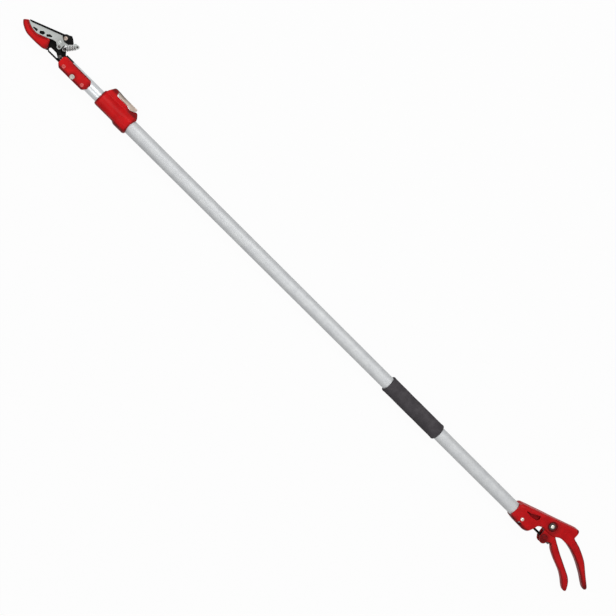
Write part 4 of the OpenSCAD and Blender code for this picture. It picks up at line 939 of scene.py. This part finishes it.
# %% Counter jaw
jaw_ledge = stitched([[75, 28.6], [72, 25.4]], cut_edge - [0, 1.4], [[17.5, 22.6], [14.5, 28.5], [11, 35.5]], jaw_low)
rim_by_blade = cut_edge + [0, 2.6]
jaw_rim = stitched([[74.6, 28.6], [70, 27]], rim_by_blade, [[17, 25.5], [14.9, 28.5], [11.4, 35.5]],
                   jaw_low - [0, 0.4])
jaw = put("jaw_casting", plate(jaw_ledge, -3.5, 5.5, edge=0.5), HEAD)
shaped(jaw, HEAD, joins=[plate(jaw_rim, 4.8, 8.6, edge=1.1)])
skinned(jaw, voxel=0.35, rounds=3)
x, y = spots_of(jaw, HEAD)[:2]
# Painted shade along the jaw's outer rim and a painted shadow of the blade beside the cutting edge; tip and root
# darker.
outer_rim = 0.85 * rise(distance_to(jaw_low, x, y), 4.8, 0.8)
blade_rim = 0.45 * rise(distance_to(rim_by_blade, x, y), 2.88, 0.48)
at_tip, at_root = 0.75 * rise(x, 70, 74), 0.75 * rise(x, 21, 13)
dress(mark_amounts(jaw, outer_rim, blade_rim, at_tip, at_root), "counter_jaw")

# %% [markdown]
# The carrier is a black stamping that stiffens the blade. Its rib runs along the blade's back, and its knob sits
# round the bolt. Three plates of different heights are joined, which leaves the steps that the real one has.

# %% Blade carrier
rib_over = [[66, 20.2], [5, -4.6]]
rib_under = [[3.64, -1.27], [60.4, 21.4], [66, 21.8]]
knob = [[5, -4.6], [-5, -11.2], [-10, -8.6], [-16.4, -3.2], [-16.4, -0.5], [-11.4, 4], [-2.6, 6], [4, 2.6],
        [6.2, -0.6]]
under_blade = stitched(rib_over, [knob[1]], knob[3:6], [[-7.4, 8.4], [-6.7, 19], [-2, 23.6], [2.5, 19], [8, 14.5]],
                       cut_edge[:2:-1] - [0, 2.3], [[60, 24.4], [65.8, 21.7]])
carrier = put("carrier_stamping", plate(under_blade, 2.8, 5.8, edge=0.2), HEAD)
rib = plate(stitched(rib_over, rib_under), 3.4, 8.6, edge=0.4)
shaped(carrier, HEAD, joins=[rib, plate(eased(knob, 1.8), 3.2, 9, edge=0.9)],
       cuts=[post(at, 0, 12, radius) for at, radius in ((PIVOT, 3.55), (EAR, 2.5), (BLADE_SCREW, 2))])
dress(mark_crests(carrier), "blade_carrier")

# %% [markdown]
# The blade's cutting edge is ground from above: a narrow slope runs from the flat of the blade down to the edge
# that passes the jaw. The plate is told which points of its outline are ground, and how wide the slope is. Three
# windows lighten the blade, and the black carrier shows through them.

# %% Blade
blade_arm = [[-6.2, 13], [-7.4, 9.6], [-10.5, 8], [-14.5, 4.6], [-18, -0.6], [-22, -2.4]]
arm_end = stitched(arc(TAIL_POST, 3.9, 75, 265), [[-19, -6.4]])
beside_knob = [[-17, -3.5], [-17, -0.3], [-11.7, 4.6], [-2.6, 6.6], [4.3, 3.2], [7, 0.4]]
blade_back = [[8.6, 0.8], [60.4, 21.5], [66, 21.9]]
blade_edge = facing(stitched(cut_edge, [[14, 17.6], [8, 16.4], [2.5, 20]], arc(EAR, 4.5, 20, 160), [[-6.4, 19]],
                             blade_arm, arm_end, beside_knob, blade_back), 1)
windows = [[[54.8, 27.4], [44, 28], [44.6, 23.4], [52, 24.8]],
           [[41, 22.8], [38.8, 26.8], [32.2, 24], [31.2, 19.4], [35.6, 18.2]],
           [[28.6, 18.8], [26, 22], [18.6, 16.2], [19, 14], [24.6, 14.9]]]
ground = np.nonzero((np.abs(blade_edge[:, None] - cut_edge[None]).sum(2) < 1e-6).any(1))[0]
holes = [eased(window, 0.8) for window in windows] + [bore(EAR, 2.5), bore(BLADE_SCREW, 2), bore(TAIL_POST, 2)]
blade = put("ground_blade", plate(blade_edge, 5.8, 7.8, edge=0.25, holes=holes, sloped=ground, grind=1.2), HEAD)
x = spots_of(blade, HEAD)[0]
dress(mark_amounts(blade, 0.32 * rise(x, 18, 4) * (x > -12)), "cutting_blade")

# %% [markdown]
# The bolt, screws and pins of the head are outlines of the same kind as those of the handle, swung round.

# %% Bolt, screws and pins of the head
head_bolt = upright(capped(-11.5, 3.5, dome_profile(4, 9.3, 1.8)), PIVOT)
fitted("head_bolt", head_bolt, HEAD, "blade_pivot_bolt", painted_shade_and_grime=0.6)
fitted("head_nut", hexagon(12, -12.5, -7.5, bore=3.55, chamfer=1.0), HEAD, "blade_pivot_nut")
flat_screw = upright(capped(2.8, 2, dome_profile(3.2, 7.8, 0.6, socket=1.1, depth=0.5)), BLADE_SCREW)
fitted("flat_screw", flat_screw, HEAD, "blade_screw")
ear = [[CENTRE, -0.3], [2.2, -0.3], [2.5, 0], [2.5, 7.6], [2.2, 7.95], [CENTRE, 8.05]]
fitted("ear_stub", upright(ear, EAR), HEAD, "ear_pin")
jaw_bolt = mirrored(capped(-3.1, 1.5, dome_profile(3, 7.5, 1.8, socket=1.3, depth=1.0)))
jaw_bolts = [upright(jaw_bolt, at, 40) for at in JAW_BOLTS]
fitted("jaw_bolts", merged(*jaw_bolts), HEAD, "jaw_screws")

# %% [markdown]
# ## Yoke and return spring
# The pull rod ends in a yoke whose slot holds the blade's ear pin. A coil spring pulls the blade open again: it
# is hooked over a post on the frame and a post on the blade's arm. Its wire is a small circle carried along a
# path that winds round the line between the two posts.

# %% Yoke
yoke_edge = stitched([[-7.9, 10.2], [3.9, 10.2], [3.9, 23.4], [0, 26.6]], arc(RIVET, 4.2, 62, 238), [[-7.9, 21]])
yoke_slot = eased([[-4.7, 13.4], [0.7, 13.4], [0.7, 22], [-4.7, 22]], 0.6)
yoke_plate = plate(yoke_edge, -0.5, 2.5, edge=0.3, holes=[yoke_slot, bore(RIVET, 2.05)])
fitted("yoke_stamping", yoke_plate, HEAD, "yoke")
fitted("rod_rivet", upright(capped(-2.5, 2, dome_profile(3.5, 2.5, 1.4)), RIVET), HEAD, "yoke_rivet")

# %% Return spring
WIRE, LOOP, COIL, TURNS = 0.8, 2.9, 4.0, 6.5  # radii of the wire, the hooks and the coil, and the coil's turns
STAND, START = 1.75, 2.6  # how far up the hooks stand, and how far from each post the coil starts
ASKEW = [0.31, 0.17, 0.93]  # a direction that the wire never takes
FOOT, TAIL = np.array([*SPRING_POST, 1.7]), np.array([*TAIL_POST, 1.7])
span = np.linalg.norm(TAIL - FOOT)
pull = (TAIL - FOOT) / span
beside, up = np.array([-pull[1], pull[0], 0]), np.array([0, 0, 1.0])


def wire(path, radius, spokes=12):
    """A circle carried along a path: at each point it lies square to the path, and one fixed direction sets how
    it is turned."""
    tangent = np.gradient(path, axis=0)
    tangent /= np.linalg.norm(tangent, axis=1)[:, None]
    side = np.cross(tangent, ASKEW)
    side /= np.linalg.norm(side, axis=1)[:, None]
    lift = np.cross(side, tangent)
    angle = round_angles(spokes)[..., None]
    ring = radius * (np.cos(angle) * side[:, None] + np.sin(angle) * lift[:, None])
    return tubular((path[:, None] + ring).reshape(-1, 3), spokes)


def hook(centre, start, end):
    """Part of a ring round a post, from one angle to another, measured from the spring's own direction."""
    angle = np.radians(np.linspace(start, end, 24))[:, None]
    return centre + LOOP * (np.cos(angle) * pull + np.sin(angle) * beside) + STAND * up


share = np.linspace(0, 1, 420)[:, None]
near = np.minimum(share, 1 - share)
swell = LOOP + (COIL - LOOP) * rise(near, 0, 0.06)
turn = np.pi + 2 * np.pi * TURNS * share
coil = FOOT + (START + share * (span - 2 * START)) * pull + swell * (np.cos(turn) * beside + np.sin(turn) * up)
coil += STAND * rise(near, 0.05, 0) * up
path = np.vstack([hook(FOOT, 80, 270), coil, hook(TAIL, 90, -100)])
spring = dress(put("return_coil", wire(path, WIRE), HEAD), "return_spring", rides=False)
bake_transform(spring)

# %% [markdown]
# ## Finishes
# Every finish starts from one Principled shader. What changes over a surface, such as grain, wear on the crests
# or a film of dust, is worked out in shared groups that read the piece's own coordinates in metres, so a grain
# of half a millimetre is half a millimetre on every piece.

# %% Shader groups
grain, given, gives, place = group("surface grain", {"Scale": 1500.0}, ["Height", "Patches"])
grain.links.new(noise(grain, place, given["Scale"], detail=4.0, rough=0.65), gives["Height"])
patches = noise(grain, place, scale=60.0, detail=3.0, rough=0.6)
grain.links.new(ramp(grain, patches, low=0.35, high=0.65), gives["Patches"])

# Paler crests: real wear, and on the enamel also a painted highlight.
crest_wear_and_highlight, given, gives, place = group("pale crests", {"Amount": 0.5}, ["Mask"])
crest = add(crest_wear_and_highlight, "ShaderNodeAttribute", attribute_name="crest").outputs["Fac"]
ragged = arithmetic(crest_wear_and_highlight, "MULTIPLY", crest, noise(crest_wear_and_highlight, place, scale=400.0, detail=5.0, rough=0.7))
rubbed = arithmetic(crest_wear_and_highlight, "MULTIPLY", ramp(crest_wear_and_highlight, ragged, low=0.28, high=0.5), given["Amount"])
crest_wear_and_highlight.links.new(rubbed, gives["Mask"])

lines, given, gives, place = group("drawn lines", {"Across": 4000.0, "Along": 12.0}, ["Height", "Streaks"])
axes = add(lines, "ShaderNodeCombineXYZ", {"X": given["Along"], "Y": given["Across"], "Z": given["Across"]})
stretch = add(lines, "ShaderNodeVectorMath", {0: place, 1: axes.outputs[0]}, operation="MULTIPLY")
streak = noise(lines, stretch.outputs[0], scale=1.0, detail=4.0, rough=0.6)
lines.links.new(streak, gives["Height"])
lines.links.new(ramp(lines, streak, low=0.3, high=0.7), gives["Streaks"])

dust, given, gives, place = group("garden dust", {"Amount": 0.2}, ["Mask"])
cloud = ramp(dust, noise(dust, place, scale=35.0, detail=6.0, rough=0.65), low=0.45, high=0.75)
specks = ramp(dust, noise(dust, place, scale=900.0, detail=2.0, rough=0.5), low=0.62, high=0.72)
film = arithmetic(dust, "MULTIPLY", arithmetic(dust, "ADD", cloud, specks), given["Amount"])
dust.links.new(film, gives["Mask"])

# Painted shade and grime: both are written in one number on each point and darken a finish together.
shade_grime_group, given, gives, place = group("painted shade and dirt", {"Amount": 1.0}, ["Mask"])
amount = add(shade_grime_group, "ShaderNodeAttribute", attribute_name="painted_shade_and_grime").outputs["Fac"]
blotch = noise(shade_grime_group, place, scale=220.0, detail=4.0, rough=0.6)
blotch = ramp(shade_grime_group, blotch, low=0.3, high=0.6, to_low=0.65)
film = arithmetic(shade_grime_group, "MULTIPLY", arithmetic(shade_grime_group, "MULTIPLY", amount, blotch), given["Amount"])
shade_grime_group.links.new(film, gives["Mask"])
print("five shader groups")

# %% Finish builder
def srgb(red, green, blue):
    """A colour as it reads on screen, from 0 to 255, as the linear light that a shader takes."""
    c = np.array([red, green, blue]) / 255
    return (*np.where(c <= 0.04045, c / 12.92, ((c + 0.055) / 1.055) ** 2.4).tolist(), 1.0)


def coated(name, constant, texture, values, tones, layers, rough, spread, strength, distance):
    """A material on one Principled shader, with the one value that is the same all over set on its socket. Its
    colour goes from the first tone to the second with the marks of a texture, and then to the tone of each
    layer with that layer's mask. Its roughness spreads about its middle with the texture's height, and the
    height is its bump too."""
    material = bpy.data.materials.new(name)
    material.use_nodes = True
    tree = material.node_tree
    shader = tree.nodes["Principled BSDF"].inputs
    shader[constant[0]].default_value = constant[1]
    height, marks = add(tree, "ShaderNodeGroup", values, node_tree=texture).outputs
    colour = tint(tree, marks, srgb(*tones[0]), srgb(*tones[1]))
    for layer, amount, tone in layers:
        mask = add(tree, "ShaderNodeGroup", {"Amount": amount}, node_tree=layer).outputs["Mask"]
        colour = tint(tree, mask, colour, srgb(*tone))
    bump = add(tree, "ShaderNodeBump", {"Height": height, "Strength": strength, "Distance": distance})
    tree.links.new(colour, shader["Base Color"])
    tree.links.new(ramp(tree, height, 0.3, 0.7, rough - spread, rough + spread), shader["Roughness"])
    tree.links.new(bump.outputs[0], shader["Normal"])
    return material


finishes = {}
print("finish builder ready")

# %% [markdown]
# The reds are satin, with slow patches of a deeper red, a pebbled grain and paler crests, which on the enamel are
# also a painted highlight. A little dust lies on them, and they turn maroon where shade is painted or grime has
# settled.

# %% Reds
for slot, name, tones, wear_and_highlight_tone, scale, wear_and_highlight in (
        ("handle_red", "handle_red_paint", [(188, 13, 18), (168, 9, 15)], (206, 60, 58), 1300.0, 0.15),
        ("clamp_red", "clamp_red_nylon", [(200, 14, 18), (182, 10, 15)], (216, 64, 60), 1700.0, 0.15),
        ("painted_red", "enamel_red", [(204, 15, 17), (182, 10, 15)], (226, 128, 124), 2400.0, 0.6)):
    # The maroon (70, 3, 6) is painted shade and grime.
    layers = [(crest_wear_and_highlight, wear_and_highlight, wear_and_highlight_tone), (dust, 0.03, (176, 120, 110)), (shade_grime_group, 1.0, (70, 3, 6))]
    finishes[slot] = coated(name, ("Specular IOR Level", 0.12), grain, {"Scale": scale}, tones, layers,
                            rough=0.44, spread=0.08, strength=0.25, distance=0.0003)
print("reds", list(finishes))

# %% [markdown]
# A bare metal takes its colour and its roughness from its grain or from the lines that drawing and grinding
# leave. Black steel, plastic and foam have a fine grain and patches of a second tone, and the steel is rubbed
# paler on its crests.

# %% Bare metals
drawn, ground_flat, rolled = {}, {"Across": 2600.0, "Along": 90.0}, {"Across": 2000.0, "Along": 60.0}
for slot, name, tones, rough, texture, values, strength, metallic in (
        ("blasted_tube", "blasted_aluminium", [(193, 195, 196), (184, 186, 188)], 0.58, grain, {"Scale": 1100.0},
         0.35, 0.35),
        ("drawn_tube", "drawn_aluminium", [(204, 207, 209), (193, 196, 198)], 0.36, lines, drawn, 0.08, 0.5),
        ("blade_steel", "ground_steel", [(180, 183, 181), (148, 152, 150)], 0.38, lines, ground_flat, 0.15, 0.85),
        ("bright_steel", "plated_steel", [(206, 201, 192), (188, 184, 177)], 0.3, grain, {"Scale": 900.0}, 0.08, 0.9),
        ("lever_steel", "zinc_plate", [(190, 173, 160), (168, 153, 142)], 0.42, lines, rolled, 0.1, 0.85),
        ("dark_steel", "dark_plated_steel", [(74, 70, 69), (58, 55, 55)], 0.42, grain, {"Scale": 900.0}, 0.12, 0.8),
        ("spring_steel", "spring_wire", [(150, 150, 148), (126, 126, 125)], 0.36, grain, {"Scale": 1500.0},
         0.08, 0.85)):
    # The dark tone (66, 62, 58) is painted shade and grime.
    layers = [(dust, 0.06, (150, 146, 138)), (shade_grime_group, 1.0, (66, 62, 58))]
    finishes[slot] = coated(name, ("Metallic", metallic), texture, values, tones, layers, rough, 0.07, strength,
                            distance=0.0002)
print("reds and metals", len(finishes))

# %% Black steel, plastic and foam
for slot, name, tones, rough, scale, strength, rubbed, film in (
        ("black_steel", "black_oxide", [(9, 9, 10), (5, 5, 6)], 0.42, 1300.0, 0.2, [(crest_wear_and_highlight, 0.5, (70, 70, 70))], 0.03),
        ("black_plastic", "black_nylon", [(30, 30, 31), (24, 24, 25)], 0.5, 1500.0, 0.2, [], 0.05),
        ("foam", "closed_cell_foam", [(76, 73, 76), (65, 62, 65)], 0.9, 700.0, 0.9, [], 0.04)):
    layers = rubbed + [(dust, film, (120, 116, 110))]
    finishes[slot] = coated(name, ("Specular IOR Level", 0.06), grain, {"Scale": scale}, tones, layers, rough, 0.08,
                            strength, distance=0.0004)
print("all finishes", sorted(finishes))

# %% Finishes on the pieces
for piece in bpy.data.objects:
    if "finish" in piece:
        piece.data.materials.clear()
        piece.data.materials.append(finishes[piece["finish"]])
        del piece["finish"]
for name, solid in nodes.items():
    for slot in solid.material_slots:
        slot.material = finishes[slot_of[name]]
print("finishes are on", len(nodes), "solids and the pieces made here")
